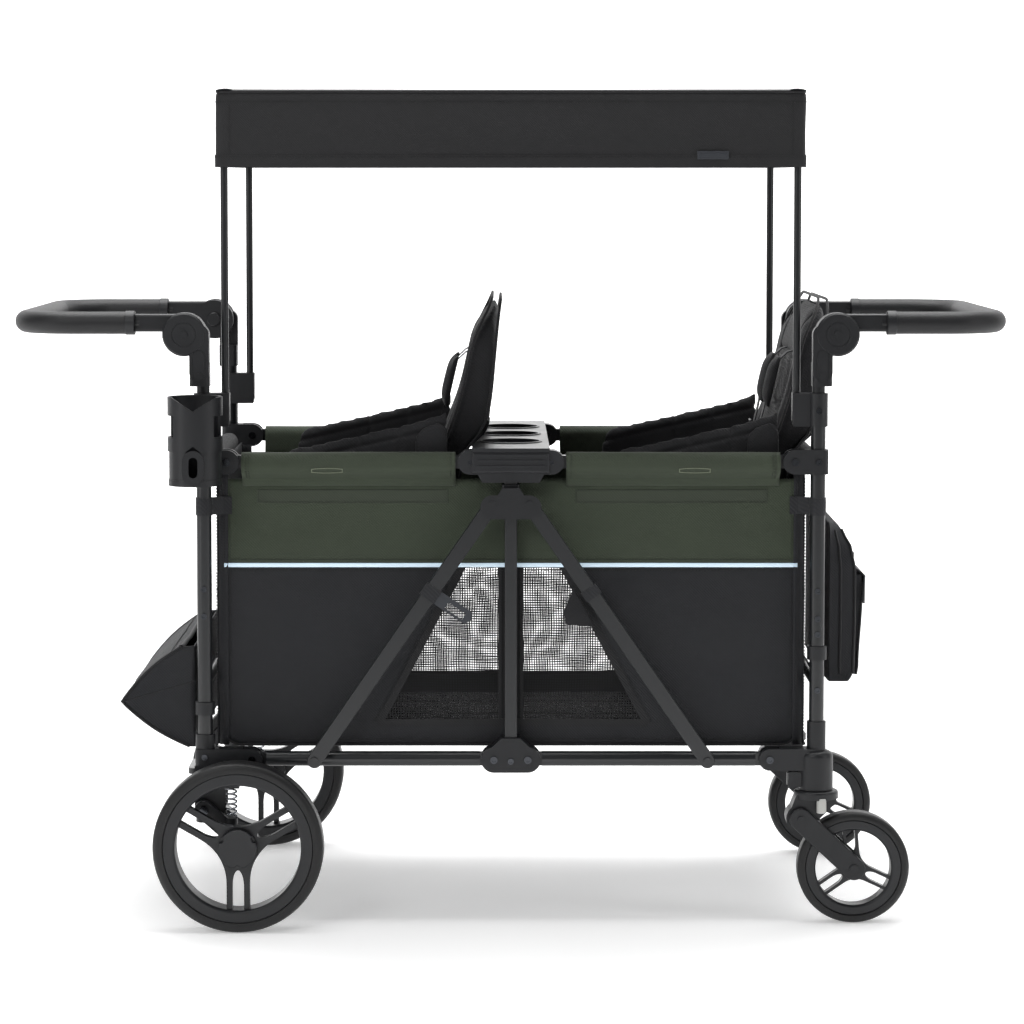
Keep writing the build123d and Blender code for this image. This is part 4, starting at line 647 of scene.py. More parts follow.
class WAGON_OT_side_walls(bpy.types.Operator):
    """Sews the two cloth side walls, with their windows, piping, strips and bindings"""

    bl_idname = "wagon.side_walls"
    bl_label = "Side walls"

    def execute(self, context):
        sizes = context.scene.wagon_sizes
        for side, name in ((-1, "right"), (1, "left")):
            self.wall(sizes, side, name)
        return {"FINISHED"}

    def wall(self, sizes, side, name):
        band = sizes.band_height
        lower = bmesh.new()
        flat_grid(lower, (-WALL_END, 0, WALL_BOTTOM), (2 * WALL_END, 0, 0),
                  (0, 0, band - WALL_BOTTOM), 120, 40)
        self.cut_window(lower, band)
        self.round_foot(lower)
        push(lower, lambda p: Vector((p.x, -wall_y(p.x, p.z), p.z)))
        cloth = piece(f"{name}_wall_lower", near_or_far(lower, side), "rear_frame", "lower_cloth")
        wall_thickness(cloth, 0.0024)

        upper = bmesh.new()
        top = RAIL_Z - 0.024
        flat_grid(upper, (-WALL_END, 0, band), (2 * WALL_END, 0, 0), (0, 0, top - band), 120, 20)
        push(upper, lambda p: Vector((p.x, -wall_y(p.x, p.z), p.z)))
        green = piece(f"{name}_wall_upper", near_or_far(upper, side), "rear_frame", "body_cloth")
        wall_thickness(green, 0.0024)

        piping = bmesh.new()
        tape(piping, wall_line(dense([(-WALL_END, band), (WALL_END, band)]), 0.0016),
             (0, 0, 1), sizes.piping_width, 0.0022)
        soften(piping, [e for e in piping.edges if abs(e.verts[0].co.x - e.verts[1].co.x) > 1e-4
                        and e.calc_face_angle(0) > 0.7], 0.0009)
        line = piece(f"{name}_wall_piping", near_or_far(piping, side), "rear_frame", "piping")

        trims = [self.window(sizes, side, name), self.binding(sizes, side, name),
                 self.edging(sizes, side, name), self.strips(sizes, side, name),
                 self.threads(sizes, side, name)]
        for thing in (cloth, green, line, *trims):
            crumple(thing)
        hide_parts("side_panels")

    def cut_window(self, shape, band):
        for end in (0, 1):
            top, foot = WINDOW_TOP[end], WINDOW_FOOT[end]
            slope = Vector((top - foot, 0, band - WINDOW_FOOT_Z))
            across_way = Vector((slope.z, 0, -slope.x))
            bmesh.ops.bisect_plane(shape, geom=shape.verts[:] + shape.edges[:] + shape.faces[:],
                                   dist=1e-5, plane_co=(foot, 0, WINDOW_FOOT_Z),
                                   plane_no=across_way)
        bmesh.ops.bisect_plane(shape, geom=shape.verts[:] + shape.edges[:] + shape.faces[:],
                               dist=1e-5, plane_co=(0, 0, WINDOW_FOOT_Z), plane_no=(0, 0, 1))
        inside = []
        for face in shape.faces:
            place = face.calc_center_median()
            if (place.z > WINDOW_FOOT_Z and window_edge(place.z, 0) < place.x
                    < window_edge(place.z, 1)):
                inside.append(face)
        bmesh.ops.delete(shape, geom=inside, context="FACES")

    def round_foot(self, shape):
        """Rounds the two lower corners."""
        radius = 0.022
        for vert in shape.verts:
            x, z = abs(vert.co.x), vert.co.z
            dx, dz = x - (WALL_END - radius), (WALL_BOTTOM + radius) - z
            if dx > 0 and dz > 0:
                reach = max(dx, dz) / math.hypot(dx, dz)
                vert.co.x = math.copysign(WALL_END - radius + dx * reach, vert.co.x)
                vert.co.z = WALL_BOTTOM + radius - dz * reach

    def window(self, sizes, side, name):
        """Open net across the window, with a plain strip down its middle."""
        band = sizes.band_height
        net = bmesh.new()
        hole, columns, rows = 0.0038, 102, 62
        foot_width = WINDOW_FOOT[1] - WINDOW_FOOT[0]
        flat_grid(net, (WINDOW_FOOT[0], 0, WINDOW_FOOT_Z), (foot_width, 0, 0),
                  (0, 0, band - WINDOW_FOOT_Z), columns, rows)
        bmesh.ops.delete(net, context="FACES", geom=[
            face for face in net.faces
            if not window_edge(face.calc_center_median().z, 0) - hole
            < face.calc_center_median().x
            < window_edge(face.calc_center_median().z, 1) + hole])
        cells = [face for face in net.faces if abs(face.calc_center_median().x) > STRIP_HALF]
        bmesh.ops.inset_individual(net, faces=cells, thickness=hole * 0.23)
        bmesh.ops.delete(net, geom=cells, context="FACES")

        def lay(p):
            pull = Vector((soft_noise(p, 0.05, 2.0), 0, soft_noise(p, 0.04, 5.0))) * 0.0022
            return Vector((p.x, -wall_y(p.x, p.z) + 0.0004, p.z)) + pull

        push(net, lay)
        return piece(f"{name}_window_net", near_or_far(net, side), "rear_frame", "net",
                     smooth=False)

    def binding(self, sizes, side, name):
        """Tape bound round the window's edges and down its middle strip."""
        band = sizes.band_height
        trim = bmesh.new()
        slant = 0.0045
        edges = [
            [(window_edge(band, 0) - slant, band), (WINDOW_FOOT[0] - slant, WINDOW_FOOT_Z)],
            [(window_edge(band, 1) + slant, band), (WINDOW_FOOT[1] + slant, WINDOW_FOOT_Z)],
        ]
        for line in edges:
            tape(trim, wall_line(dense(line), 0.0005), (1, 0, 0), 0.012, 0.0020)
        foot = [(WINDOW_FOOT[0] - 0.006, WINDOW_FOOT_Z), (WINDOW_FOOT[1] + 0.006, WINDOW_FOOT_Z)]
        tape(trim, wall_line(dense(foot), 0.0007), (0, 0, 1), 0.011, 0.0020)
        for x in (-STRIP_HALF, STRIP_HALF):
            tape(trim, wall_line(dense([(x, band), (x, WINDOW_FOOT_Z)]), 0.0002), (1, 0, 0),
                 0.005, 0.0016)
        return piece(f"{name}_window_binding", near_or_far(trim, side), "rear_frame", "binding",
                     smooth=False)

    def edging(self, sizes, side, name):
        """Piped edge down both ends and along the foot, round the lower corners."""
        radius, inset = 0.022, 0.0
        low, end = WALL_BOTTOM, WALL_END - inset
        route = [(-end, RAIL_Z - 0.03), (-end, low + radius)]
        route += rounded_corner(-end + radius, low + radius, math.pi, math.pi / 2, radius)
        route += [(-end + radius, low), (end - radius, low)]
        route += rounded_corner(end - radius, low + radius, -math.pi / 2, math.pi / 2, radius)
        route += [(end, low + radius), (end, RAIL_Z - 0.03)]
        edge = bmesh.new()
        places = [Vector((x, -wall_y(x, z), z)) for x, z in dense(route, 0.02)]
        cord_line(edge, places, 0.0022)
        return piece(f"{name}_wall_edging", near_or_far(edge, side), "rear_frame", "binding")

    def strips(self, sizes, side, name):
        """Two long loop strips sewn across the upper band."""
        shape = bmesh.new()
        for start, end in ((-0.375, -0.092), (0.095, 0.380)):
            tape(shape, wall_line(dense([(start, 0.6325), (end, 0.6325)]), 0.0003), (0, 0, 1),
                 0.021, 0.0016)
        soften(shape, [e for e in shape.edges if e.is_manifold and e.calc_face_angle(0) > 0.7],
               0.0005, 1)
        return piece(f"{name}_wall_strips", near_or_far(shape, side), "rear_frame",
                     "green_binding", smooth=False)

    def threads(self, sizes, side, name):
        """Rows of stitches: beside the piping, round the strips and along the edges."""
        band, pitch = sizes.band_height, sizes.stitch_pitch
        shape = bmesh.new()
        rows = [[(-WALL_END + 0.01, band + 0.008), (WALL_END - 0.01, band + 0.008)],
                [(-WALL_END + 0.01, band - 0.008), (WALL_END - 0.01, band - 0.008)]]
        for start, end in ((-0.375, -0.092), (0.095, 0.380)):
            low, high = 0.6235, 0.6415
            rows.append([(start + 0.002, low), (end - 0.002, low), (end - 0.002, high),
                         (start + 0.002, high), (start + 0.002, low)])
        for edge in (-WALL_END + 0.009, WALL_END - 0.009):
            rows.append([(edge, WALL_BOTTOM + 0.03), (edge, RAIL_Z - 0.03)])
        rows.append([(-WALL_END + 0.03, WALL_BOTTOM + 0.009),
                     (WALL_END - 0.03, WALL_BOTTOM + 0.009)])
        for side_end in (0, 1):
            away = (-0.013, 0.013)[side_end]
            rows.append([(window_edge(band - 0.012, side_end) + away, band - 0.012),
                         (WINDOW_FOOT[side_end] + away, WINDOW_FOOT_Z)])
        for row in rows:
            stitches(shape, wall_line(dense(row, 0.02), 0.0006), pitch)
        for face in shape.faces:
            face.material_index = 0 if face.calc_center_median().z < band else 1
        return piece(f"{name}_wall_stitching", near_or_far(shape, side), "rear_frame",
                     "dark_thread", smooth=False, keys=("green_thread",))


# ---- Rail sleeves --------------------------------------------------------------------------------
def sleeve_profile():
    """Section of a sleeve, as (distance out, height): up the inside, over the rail and down."""
    points = [(WALL_Y - 0.0022, RAIL_Z - 0.034), (WALL_Y - 0.0008, RAIL_Z - 0.018)]
    for step in range(15):
        angle = math.radians(180 - step * 232 / 14)
        points.append((POST_Y + SLEEVE_RADIUS * math.cos(angle),
                       RAIL_Z + SLEEVE_RADIUS * math.sin(angle)))
    points += [(WALL_Y + 0.0115, RAIL_Z - 0.0205), (WALL_Y + 0.0075, RAIL_Z - 0.0265),
               (WALL_Y + 0.0050, RAIL_Z - 0.034)]
    return points


def sleeve_skin(out, height, x, proud=0.0):
    """A point of the sleeve's cloth with its creases, moved out by proud."""
    away = Vector((0, out - POST_Y, height - RAIL_Z))
    away.normalize()
    crease = soft_noise((x * 0.55, out * 2.2, height * 2.2), 0.05, 5.0)
    lift = 0.0011 * crease + proud
    return Vector((x, -(out + away.y * lift), height + away.z * lift))


class WAGON_OT_rail_sleeves(bpy.types.Operator):
    """Wraps the four top rails in their cloth sleeves, sewn to the side walls"""

    bl_idname = "wagon.rail_sleeves"
    bl_label = "Rail sleeves"

    def execute(self, context):
        sizes = context.scene.wagon_sizes
        profile = sleeve_profile()
        length = SLEEVE_REACH[1] - SLEEVE_REACH[0]
        around = sum(math.hypot(b[0] - a[0], b[1] - a[1]) for a, b in zip(profile, profile[1:]))
        for end, sign in (("rear", -1), ("front", 1)):
            for name, side in (("right", -1), ("left", 1)):
                shape = bmesh.new()
                first = [shape.verts.new((sign * SLEEVE_REACH[0], -y, z)) for y, z in profile]
                edges = [shape.edges.new(pair) for pair in zip(first, first[1:])]
                stations = 64
                for _ in range(stations):
                    made = bmesh.ops.extrude_edge_only(shape, edges=edges)["geom"]
                    new = [item for item in made if isinstance(item, bmesh.types.BMVert)]
                    bmesh.ops.translate(shape, vec=(sign * length / stations, 0, 0), verts=new)
                    edges = [item for item in made if isinstance(item, bmesh.types.BMEdge)
                             and all(vert in new for vert in item.verts)]
                push(shape, lambda p: sleeve_skin(-p.y, p.z, p.x))
                cloth = piece(f"{end}_{name}_rail_sleeve", near_or_far(shape, side),
                              f"{end}_upper_rails", "body_cloth")
                wall_thickness(cloth, 0.0022)
                final_mesh(cloth)
                trim = self.sewing(sizes, sign, side, f"{end}_{name}")
        return {"FINISHED"}

    def sewing(self, sizes, sign, side, name):
        """Stitches at the sleeve's ends and along its foot, and the pale sewn slot."""
        shape = bmesh.new()
        profile = sleeve_profile()[9:]
        start, end = (sign * reach for reach in SLEEVE_REACH)
        for x in (start + sign * 0.007, end - sign * 0.007, end - sign * 0.011):
            stitches(shape, [sleeve_skin(y, z, x, 0.0017) for y, z in profile],
                     sizes.stitch_pitch)
        low, out = RAIL_Z - 0.0205, WALL_Y + 0.0115
        row = [sleeve_skin(out, low, x, 0.0017)
               for x in [start + (end - start) * i / 24 for i in range(25)]]
        stitches(shape, row, sizes.stitch_pitch)
        count = len(shape.faces)
        slot = self.slot_outline(sign)
        stitches(shape, slot + slot[:1], 0.0032, 0.86, 0.0006)
        shape.faces.ensure_lookup_table()
        for face in shape.faces[count:]:
            face.material_index = 1
        return piece(f"{name}_sleeve_stitching", near_or_far(shape, side),
                     f"{name.split('_')[0]}_upper_rails", "green_thread",
                     smooth=False, keys=("pale_thread",))

    def slot_outline(self, sign):
        """A long narrow opening worked with pale thread on the sleeve's outer side."""
        middle_x, half, height = sign * 0.270, 0.0225, 0.0030
        turns = [(-half, 0.0), (-half, height * 0.7), (-half * 0.6, height), (0.0, height * 1.15),
                 (half * 0.6, height), (half, height * 0.7), (half, 0.0), (half, -height * 0.7),
                 (half * 0.6, -height * 0.9), (0.0, -height * 1.05), (-half * 0.6, -height * 0.9),
                 (-half, -height * 0.7)]
        places = []
        for dx, dz in turns:
            height_here = -0.0085 + dz
            out = POST_Y + math.sqrt(SLEEVE_RADIUS ** 2 - height_here ** 2)
            places.append(sleeve_skin(out, RAIL_Z + height_here, middle_x + dx, 0.0016))
        return places


# ---- Canopy --------------------------------------------------------------------------------------
CANOPY_ROUNDING = 0.011


def canopy_skin(point):
    """Where a point of the canopy's plain box lies once it is stretched over the hoops."""
    low, high = CANOPY_BOX
    half = Vector((high.x, high.y, 0))
    u, v = point.x / half.x, point.y / half.y
    drop = (high.z - point.z) / (high.z - low.z)
    inner = Vector((max(-half.x + CANOPY_ROUNDING, min(half.x - CANOPY_ROUNDING, point.x)),
                    max(-half.y + CANOPY_ROUNDING, min(half.y - CANOPY_ROUNDING, point.y)),
                    min(high.z - CANOPY_ROUNDING, point.z)))
    away = point - inner
    place = inner + away.normalized() * CANOPY_ROUNDING if away.length > 1e-7 else point.copy()
    top = 1 - smooth_step(drop, 0.0, 0.12)
    place.z -= 0.0065 * top * (1 - u * u) * (1 - v ** 4)
    hang = smooth_step(drop, 0.1, 0.6) * (1 - 0.45 * smooth_step(drop, 0.6, 1.0))
    if abs(v) > 0.985:
        place.y -= math.copysign(0.0042 * hang * (1 - u ** 4), v)
    if abs(u) > 0.985:
        place.x -= math.copysign(0.0035 * hang * (1 - v ** 4), u)
    crease = soft_noise((place.x * 0.35, place.y * 0.35, place.z * 1.2), 0.06, 2.0)
    place += away.normalized() * 0.0009 * crease * (0.4 + hang) if away.length > 1e-7 \
        else Vector((0, 0, 0.0012 * crease))
    return place


class WAGON_OT_canopy(bpy.types.Operator):
    """Stretches the canopy over its hoops, with piping, seams, hem, tab and a plain label"""

    bl_idname = "wagon.canopy"
    bl_label = "Canopy"

    def execute(self, context):
        sizes = context.scene.wagon_sizes
        low, high = CANOPY_BOX
        shape = bmesh.new()
        grid_block(shape, (-1, -1, 0), (1, 1, 1), (72, 48, 14))
        under = [face for face in shape.faces if face.calc_center_median().z < 1e-5]
        bmesh.ops.delete(shape, geom=under, context="FACES")

        def place(p):
            closer = [math.sin(value * math.pi / 2) for value in (p.x, p.y)]
            height = high.z - (high.z - low.z) * (1 - p.z) ** 1.35
            return canopy_skin(Vector((closer[0] * high.x, closer[1] * high.y, height)))

        push(shape, place)
        cover = piece("canopy_cloth", shape, "canopy_rear", "canopy_cloth")
        wall_thickness(cover, 0.0020)
        trims = [self.piping(low, high), self.seams(sizes, low, high), self.hem(sizes, low, high),
                 self.label(low, high), self.tabs(low, high)]
        for thing in (cover, *trims):
            crumple(thing, low.x)
        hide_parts("canopy_cover")
        return {"FINISHED"}

    def round_route(self, high, inset, z, radius=0.012):
        """Points round the canopy at a height, a little inside its sides."""
        x, y = high.x - inset, high.y - inset
        route = []
        for cx, cy, start in ((x - radius, y - radius, 0), (radius - x, y - radius, 90),
                              (radius - x, radius - y, 180), (x - radius, radius - y, 270)):
            for step in range(7):
                angle = math.radians(start + 15 * step)
                route.append((cx + radius * math.cos(angle), cy + radius * math.sin(angle), z))
        return route

    def filled(self, route, step=0.02):
        """The closed route with points added on its long runs, laid on the cloth."""
        places = []
        for a, b in zip(route, route[1:] + route[:1]):
            a, b = Vector(a), Vector(b)
            count = max(1, int((b - a).length / step))
            places += [a.lerp(b, i / count) for i in range(count)]
        return places

    def piping(self, low, high):
        shape = bmesh.new()
        route = self.filled(self.round_route(high, 0.0012, high.z - 0.0030))
        half_x, half_y = high.x, high.y
        for place in route:
            place.z -= 0.0045 * (1 - (place.x / half_x) ** 2) * (1 - (place.y / half_y) ** 4) * 0.5
        cord_line(shape, route, 0.0022, closed=True)
        return piece("canopy_piping", shape, "canopy_rear", "binding")

    def seams(self, sizes, low, high):
        """Sewn lines under the top edge and down the four corners."""
        shape = bmesh.new()
        pitch = sizes.stitch_pitch
        for drop in (0.018,):
            route = self.filled(self.round_route(high, -0.0013, high.z - drop))
            stitches(shape, route + route[:1], pitch)
        for x_sign in (-1, 1):
            for y_sign in (-1, 1):
                for inset in (0.020,):
                    line = [canopy_skin(Vector((x_sign * (high.x - inset), y_sign * high.y, z)))
                            + Vector((0, y_sign * 0.0013, 0))
                            for z in [high.z - 0.02 - i * 0.009 for i in range(10)]]
                    stitches(shape, line, pitch)
                    line = [canopy_skin(Vector((x_sign * high.x, y_sign * (high.y - inset), z)))
                            + Vector((x_sign * 0.0013, 0, 0))
                            for z in [high.z - 0.02 - i * 0.009 for i in range(10)]]
                    stitches(shape, line, pitch)
        return piece("canopy_stitching", shape, "canopy_rear", "dark_thread",
                     smooth=False)

    def hem(self, sizes, low, high):
        """Turned hem round the foot: a second layer of cloth and its row of stitches."""
        shape = bmesh.new()
        route = self.round_route(high, 0.0, low.z)
        ring = self.filled(route, 0.03)
        verts = [shape.verts.new(place) for place in ring]
        edges = [shape.edges.new((verts[i - 1], verts[i])) for i in range(len(verts))]
        made = bmesh.ops.extrude_edge_only(shape, edges=edges)["geom"]
        upper = [item for item in made if isinstance(item, bmesh.types.BMVert)]
        bmesh.ops.translate(shape, vec=(0, 0, sizes.hem_width), verts=upper)

        def lay(p):
            flat = canopy_skin(Vector((max(-high.x, min(high.x, p.x)),
                                       max(-high.y, min(high.y, p.y)), p.z)))
            away = Vector((p.x, p.y, 0)).normalized()
            return Vector((flat.x, flat.y, p.z)) + away * 0.0012

        push(shape, lay)
        bmesh.ops.solidify(shape, geom=shape.faces[:], thickness=0.0011)
        count = len(shape.faces)
        level = low.z + sizes.hem_width - 0.003
        line = [canopy_skin(Vector((x, y, level))) for x, y, _ in
                self.filled(self.round_route(high, 0.0, level), 0.03)]
        line = [p + Vector((p.x, p.y, 0)).normalized() * 0.0026 for p in line]
        stitches(shape, line + line[:1], sizes.stitch_pitch)
        shape.faces.ensure_lookup_table()
        for face in shape.faces[count:]:
            face.material_index = 1
        return piece("canopy_hem", shape, "canopy_rear", "canopy_cloth",
                     smooth=False, keys=("dark_thread",))

    def label(self, low, high):
        """Small blank rubber label on the near flap."""
        shape = bmesh.new()
        y = -high.y - 0.0004
        _, verts = box_shape((0.272, y - 0.0018, 1.1285), (0.318, y + 0.003, 1.1405), shape)
        soften(shape, edges_of(verts), 0.0008)
        _, inner = box_shape((0.2760, y - 0.0026, 1.1318), (0.3140, y, 1.1372), shape)
        soften(shape, edges_of(inner), 0.0004)
        return piece("canopy_label", shape, "canopy_rear", "grey_tab",
                     smooth=False)

    def tabs(self, low, high):
        """Webbing tabs at the corners that hold the cover on its hoops."""
        shape = bmesh.new()
        for x_sign in (-1, 1):
            for y_sign in (-1, 1):
                x, y = x_sign * (high.x - 0.014), y_sign * (high.y - 0.006)
                points = [Vector((x + x_sign * 0.010 * k, y, high.z + 0.0016 - 0.0012 * k * k))
                          for k in (-1.0, -0.4, 0.2, 0.8, 1.4)]
                tape(shape, points, (0, 1, 0), 0.016, 0.0016)
        return piece("canopy_tabs", shape, "canopy_rear", "webbing",
                     smooth=False)


# ---- Seats ---------------------------------------------------------------------------------------
BACK_LEAN = math.radians(13.0)
BACK_FOOT = Vector((BACK_BOX[1].x - (BACK_BOX[1].z - BACK_BOX[0].z) * math.tan(BACK_LEAN), 0,
                    BACK_BOX[0].z))
BACK_HEIGHT = (BACK_BOX[1].z - BACK_BOX[0].z) / math.cos(BACK_LEAN)
BACK_THICK = 0.0405
BACK_HALF = 0.192
PAN_FRONT = BACK_BOX[0].x - 0.012
PAN_DEPTH = 0.19


def back_thickness(share):
    """Thickness of the back in front of its plane, by its share of the height."""
    return BACK_THICK * (1 - 0.30 * smooth_step(share, 0.2, 0.6)
                         - 0.40 * smooth_step(share, 0.78, 1.02))


def rear_bulge(share):
    """How far the cover stands out behind the back: most where its lower edge tucks in."""
    return 0.002 + 0.023 * smooth_step(share, 0.30, 0.46) * (1 - smooth_step(share, 0.46, 1.10))


def arched(y, up, half, top, radius):
    """Rounds the two upper corners of a back that is half wide and top high."""
    dy, du = abs(y) - (half - radius), up - (top - radius)
    if dy > 0 and du > 0:
        reach = max(dy, du) / math.hypot(dy, du)
        return math.copysign(half - radius + dy * reach, y), top - radius + du * reach
    return y, up


def back_place(y, up, thick):
    """A point of the seat back: across, up along the lean, and out from its rear face."""
    return (BACK_FOOT + Vector((math.sin(BACK_LEAN), 0, math.cos(BACK_LEAN))) * up
            + Vector((-math.cos(BACK_LEAN), 0, math.sin(BACK_LEAN))) * thick + Vector((0, y, 0)))


def moved_copy(thing, name, body, shift):
    """The same piece again further along the wagon, on another body."""
    mesh = thing.data.copy()
    mesh.transform(Matrix.Translation(Vector((shift, 0, 0))))
    copy = bpy.data.objects.new(name, mesh)
    bpy.context.scene.collection.objects.link(copy)
    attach(copy, body)
    return copy


class WAGON_OT_seats(bpy.types.Operator):
    """Fills and sews the two seat cushions and backs, with their side wings and harnesses"""

    bl_idname = "wagon.seats"
    bl_label = "Seats"

    def execute(self, context):
        sizes = context.scene.wagon_sizes
        rear = [self.back(), self.back_piping(), self.shell(), *self.harness(sizes)]
        for thing in rear:
            name = thing.name.replace("rear_", "front_", 1)
            copy = moved_copy(thing, name, "front_seat", SEAT_SPACING)
            if thing is rear[0]:
                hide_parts("front_seat_back")
                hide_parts("rear_seat_back")
        for thing in rear:
            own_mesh(thing)
        base = [self.pan(), self.wings(), self.side_flaps()]
        for number, thing in enumerate(base):
            copy = moved_copy(thing, thing.name.replace("rear_", "front_", 1), "rear_frame",
                              SEAT_SPACING)
            for each in (thing, copy):
                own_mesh(each)
            if number == 0:
                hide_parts("seat_pans")
        return {"FINISHED"}

    def back(self):
        shape = bmesh.new()
        grid_block(shape, (-1, 0, 0), (1, 1, 1), (20, 18, 2))
        inset = 0.004

        def place(p):
            y, up = arched(p.x * (BACK_HALF - inset), inset + p.y * (BACK_HEIGHT - 2 * inset),
                           BACK_HALF - inset, BACK_HEIGHT - inset, 0.075)
            share = up / BACK_HEIGHT
            thick = (back_thickness(share) - 2 * inset)
            hollow = 0.007 * (1 - (y / BACK_HALF) ** 2) * (1 - abs(2 * share - 1) ** 3)
            rear = rear_bulge(share) - 0.006
            return back_place(y, up, -rear + (thick + rear + inset) * p.z
                              - (hollow if p.z > 0.9 else 0.0))

        push(shape, place)
        pad = piece("rear_seat_pad", shape, "rear_seat", "seat_cloth")
        inflate(pad, 0.006, voxel=0.005)
        one_finer(pad)

        def seams(point):
            local = point - BACK_FOOT
            up = local.x * math.sin(BACK_LEAN) + local.z * math.cos(BACK_LEAN)
            out = -local.x * math.cos(BACK_LEAN) + local.z * math.sin(BACK_LEAN)
            if out < 0.012:
                return 0.0
            deep = 0.0
            for y in (-0.118, 0.118):
                deep = max(deep, groove(point.y - y, 0.0045))
            if abs(point.y) < 0.118:
                for level in (0.085, 0.165, 0.245):
                    deep = max(deep, groove(up - level, 0.0045))
            return 0.0048 * deep

        return sew(pad, seams)

    def back_piping(self):
        """Piped seams round the front and the rear edge of the back."""
        shape = bmesh.new()
        radius, half, top = 0.075, BACK_HALF + 0.001, BACK_HEIGHT + 0.001
        route = [(-half, 0.05), (-half, top - radius)]
        route += rounded_corner(-half + radius, top - radius, math.pi, -math.pi / 2, radius, 10)
        route += [(half - radius, top)]
        route += rounded_corner(half - radius, top - radius, math.pi / 2, -math.pi / 2, radius, 10)
        route += [(half, 0.05)]
        for level in (0.82, -0.10):
            points = []
            for y, up in dense(route, 0.02):
                share = up / BACK_HEIGHT
                out = back_thickness(share) * level if level > 0 else -rear_bulge(share) * 0.85
                points.append(back_place(y * 0.992, up, out))
            cord_line(shape, points, 0.0022)
        return piece("rear_seat_piping", shape, "rear_seat", "binding")

    def shell(self):
        """Loose lower edge of the cloth behind the back, where it tucks under."""
        shape = bmesh.new()
        half = BACK_HALF - 0.006
        flat_grid(shape, (0, -1, 0), (0, 2, 0), (0, 0, 1), 30, 8)

        def place(p):
            share = 0.47 - 0.17 * p.z
            out = -rear_bulge(0.47) * (1 - smooth_step(p.z, 0.1, 1.0)) - 0.001
            wave = 0.0022 * soft_noise((0, p.y * half, p.z * 0.05), 0.045, 6.0)
            return back_place(p.y * half, share * BACK_HEIGHT, out - wave)

        push(shape, place)
        cloth = piece("rear_seat_skirt", shape, "rear_seat", "seat_cloth")
        wall_thickness(cloth, 0.0022)
        return final_mesh(cloth)

    def harness(self, sizes):
        """Shoulder straps with pads, waist straps, crotch strap and buckle."""
        width = sizes.strap_width
        straps, pads, hard = bmesh.new(), bmesh.new(), bmesh.new()
        front = 0.034
        buckle = Vector((BACK_FOOT.x - 0.090, 0, BACK_FOOT.z + 0.020))
        for side in (-1, 1):
            route = [back_place(side * 0.052, 0.252, 0.020), back_place(side * 0.054, 0.246, 0.031),
                     back_place(side * 0.055, 0.228, front + 0.009),
                     back_place(side * 0.055, 0.195, front + 0.014),
                     back_place(side * 0.052, 0.150, front + 0.012),
                     back_place(side * 0.046, 0.100, front + 0.013),
                     back_place(side * 0.034, 0.055, front + 0.024),
                     buckle + Vector((0.010, side * 0.018, 0.008))]
            tape(straps, route, (0, 1, 0), width, 0.0014)
            self.shoulder_pad(pads, side, front)
            waist = [back_place(side * 0.150, 0.030, front - 0.004),
                     back_place(side * 0.120, 0.024, front + 0.014),
                     back_place(side * 0.080, 0.020, front + 0.032),
                     buckle + Vector((0.006, side * 0.024, 0.0))]
            tape(straps, waist, (-0.15, 0, 1), width, 0.0014)
        crotch = [Vector((buckle.x - 0.030, 0, PAN_BOX[1].z + 0.001)),
                  Vector((buckle.x - 0.030, 0, PAN_BOX[1].z + 0.008)),
                  Vector((buckle.x - 0.020, 0, PAN_BOX[1].z + 0.016)), buckle]
        tape(straps, crotch, (0, 1, 0), width, 0.0014)
        turn = Matrix.Rotation(math.radians(62), 4, "Y")
        place = Matrix.Translation(buckle) @ turn @ Matrix.Diagonal((0.052, 0.046, 0.017, 1.0))
        made = bmesh.ops.create_cube(hard, size=1.0, matrix=place)
        soften(hard, edges_of(made["verts"]), 0.005, 3)
        band(hard, buckle + turn @ Vector((0, 0, 0.0085)), turn @ Vector((0, 0, 1)), 0.0006,
             0.0125, 0.003, segments=28)
        for side in (-1, 1):
            bar = back_place(side * 0.048, 0.118, front + 0.0145)
            made = bmesh.ops.create_cube(hard, size=1.0, matrix=Matrix.Translation(bar)
                                         @ Matrix.Rotation(-BACK_LEAN, 4, "Y")
                                         @ Matrix.Diagonal((0.004, 0.034, 0.020, 1.0)))
            soften(hard, edges_of(made["verts"]), 0.0014)
        return [piece("rear_harness_straps", straps, "rear_seat", "webbing",
                      smooth=False),
                self.finish_pads(pads),
                piece("rear_harness_buckle", hard, "rear_seat", "plastic",
                      smooth=False)]

    def shoulder_pad(self, shape, side, front):
        """One soft pad that folds round its strap."""
        first = len(shape.verts)
        grid_block(shape, (-1, 0, 0), (1, 1, 1), (6, 12, 2))
        shape.verts.ensure_lookup_table()
        for vert in shape.verts[first:]:
            p = vert.co.copy()
            ends = 1 - abs(2 * p.y - 1) ** 4
            half = 0.027 * (0.82 + 0.18 * ends)
            thick = 0.004 + 0.011 * ends * (1 - 0.75 * p.x * p.x)
            vert.co = back_place(side * 0.054 + p.x * half, 0.158 + p.y * 0.078,
                                 front + 0.005 + p.z * thick)

    def finish_pads(self, shape):
        pads = piece("rear_shoulder_pads", shape, "rear_seat", "seat_cloth")
        return one_finer(pads)

    def pan(self):
        """Seat cushion: crowned, with its sides drawn in and sewn channels across it."""
        shape = bmesh.new()
        grid_block(shape, (-1, -1, 0), (1, 1, 1), (16, 24, 3))
        low, high = PAN_BOX
        half_y = high.y - 0.006

        def place(p):
            x = PAN_FRONT - PAN_DEPTH * (0.5 - p.x * 0.5 * (1 - 0.03 * p.y * p.y)) - 0.002
            y = p.y * half_y * (1 - 0.03 * (1 - p.x * p.x))
            crown = (1 - p.x ** 4) * (1 - p.y ** 4)
            z = low.z + 0.005 + p.z * (0.022 + 0.008 * crown)
            return Vector((x, y, z))

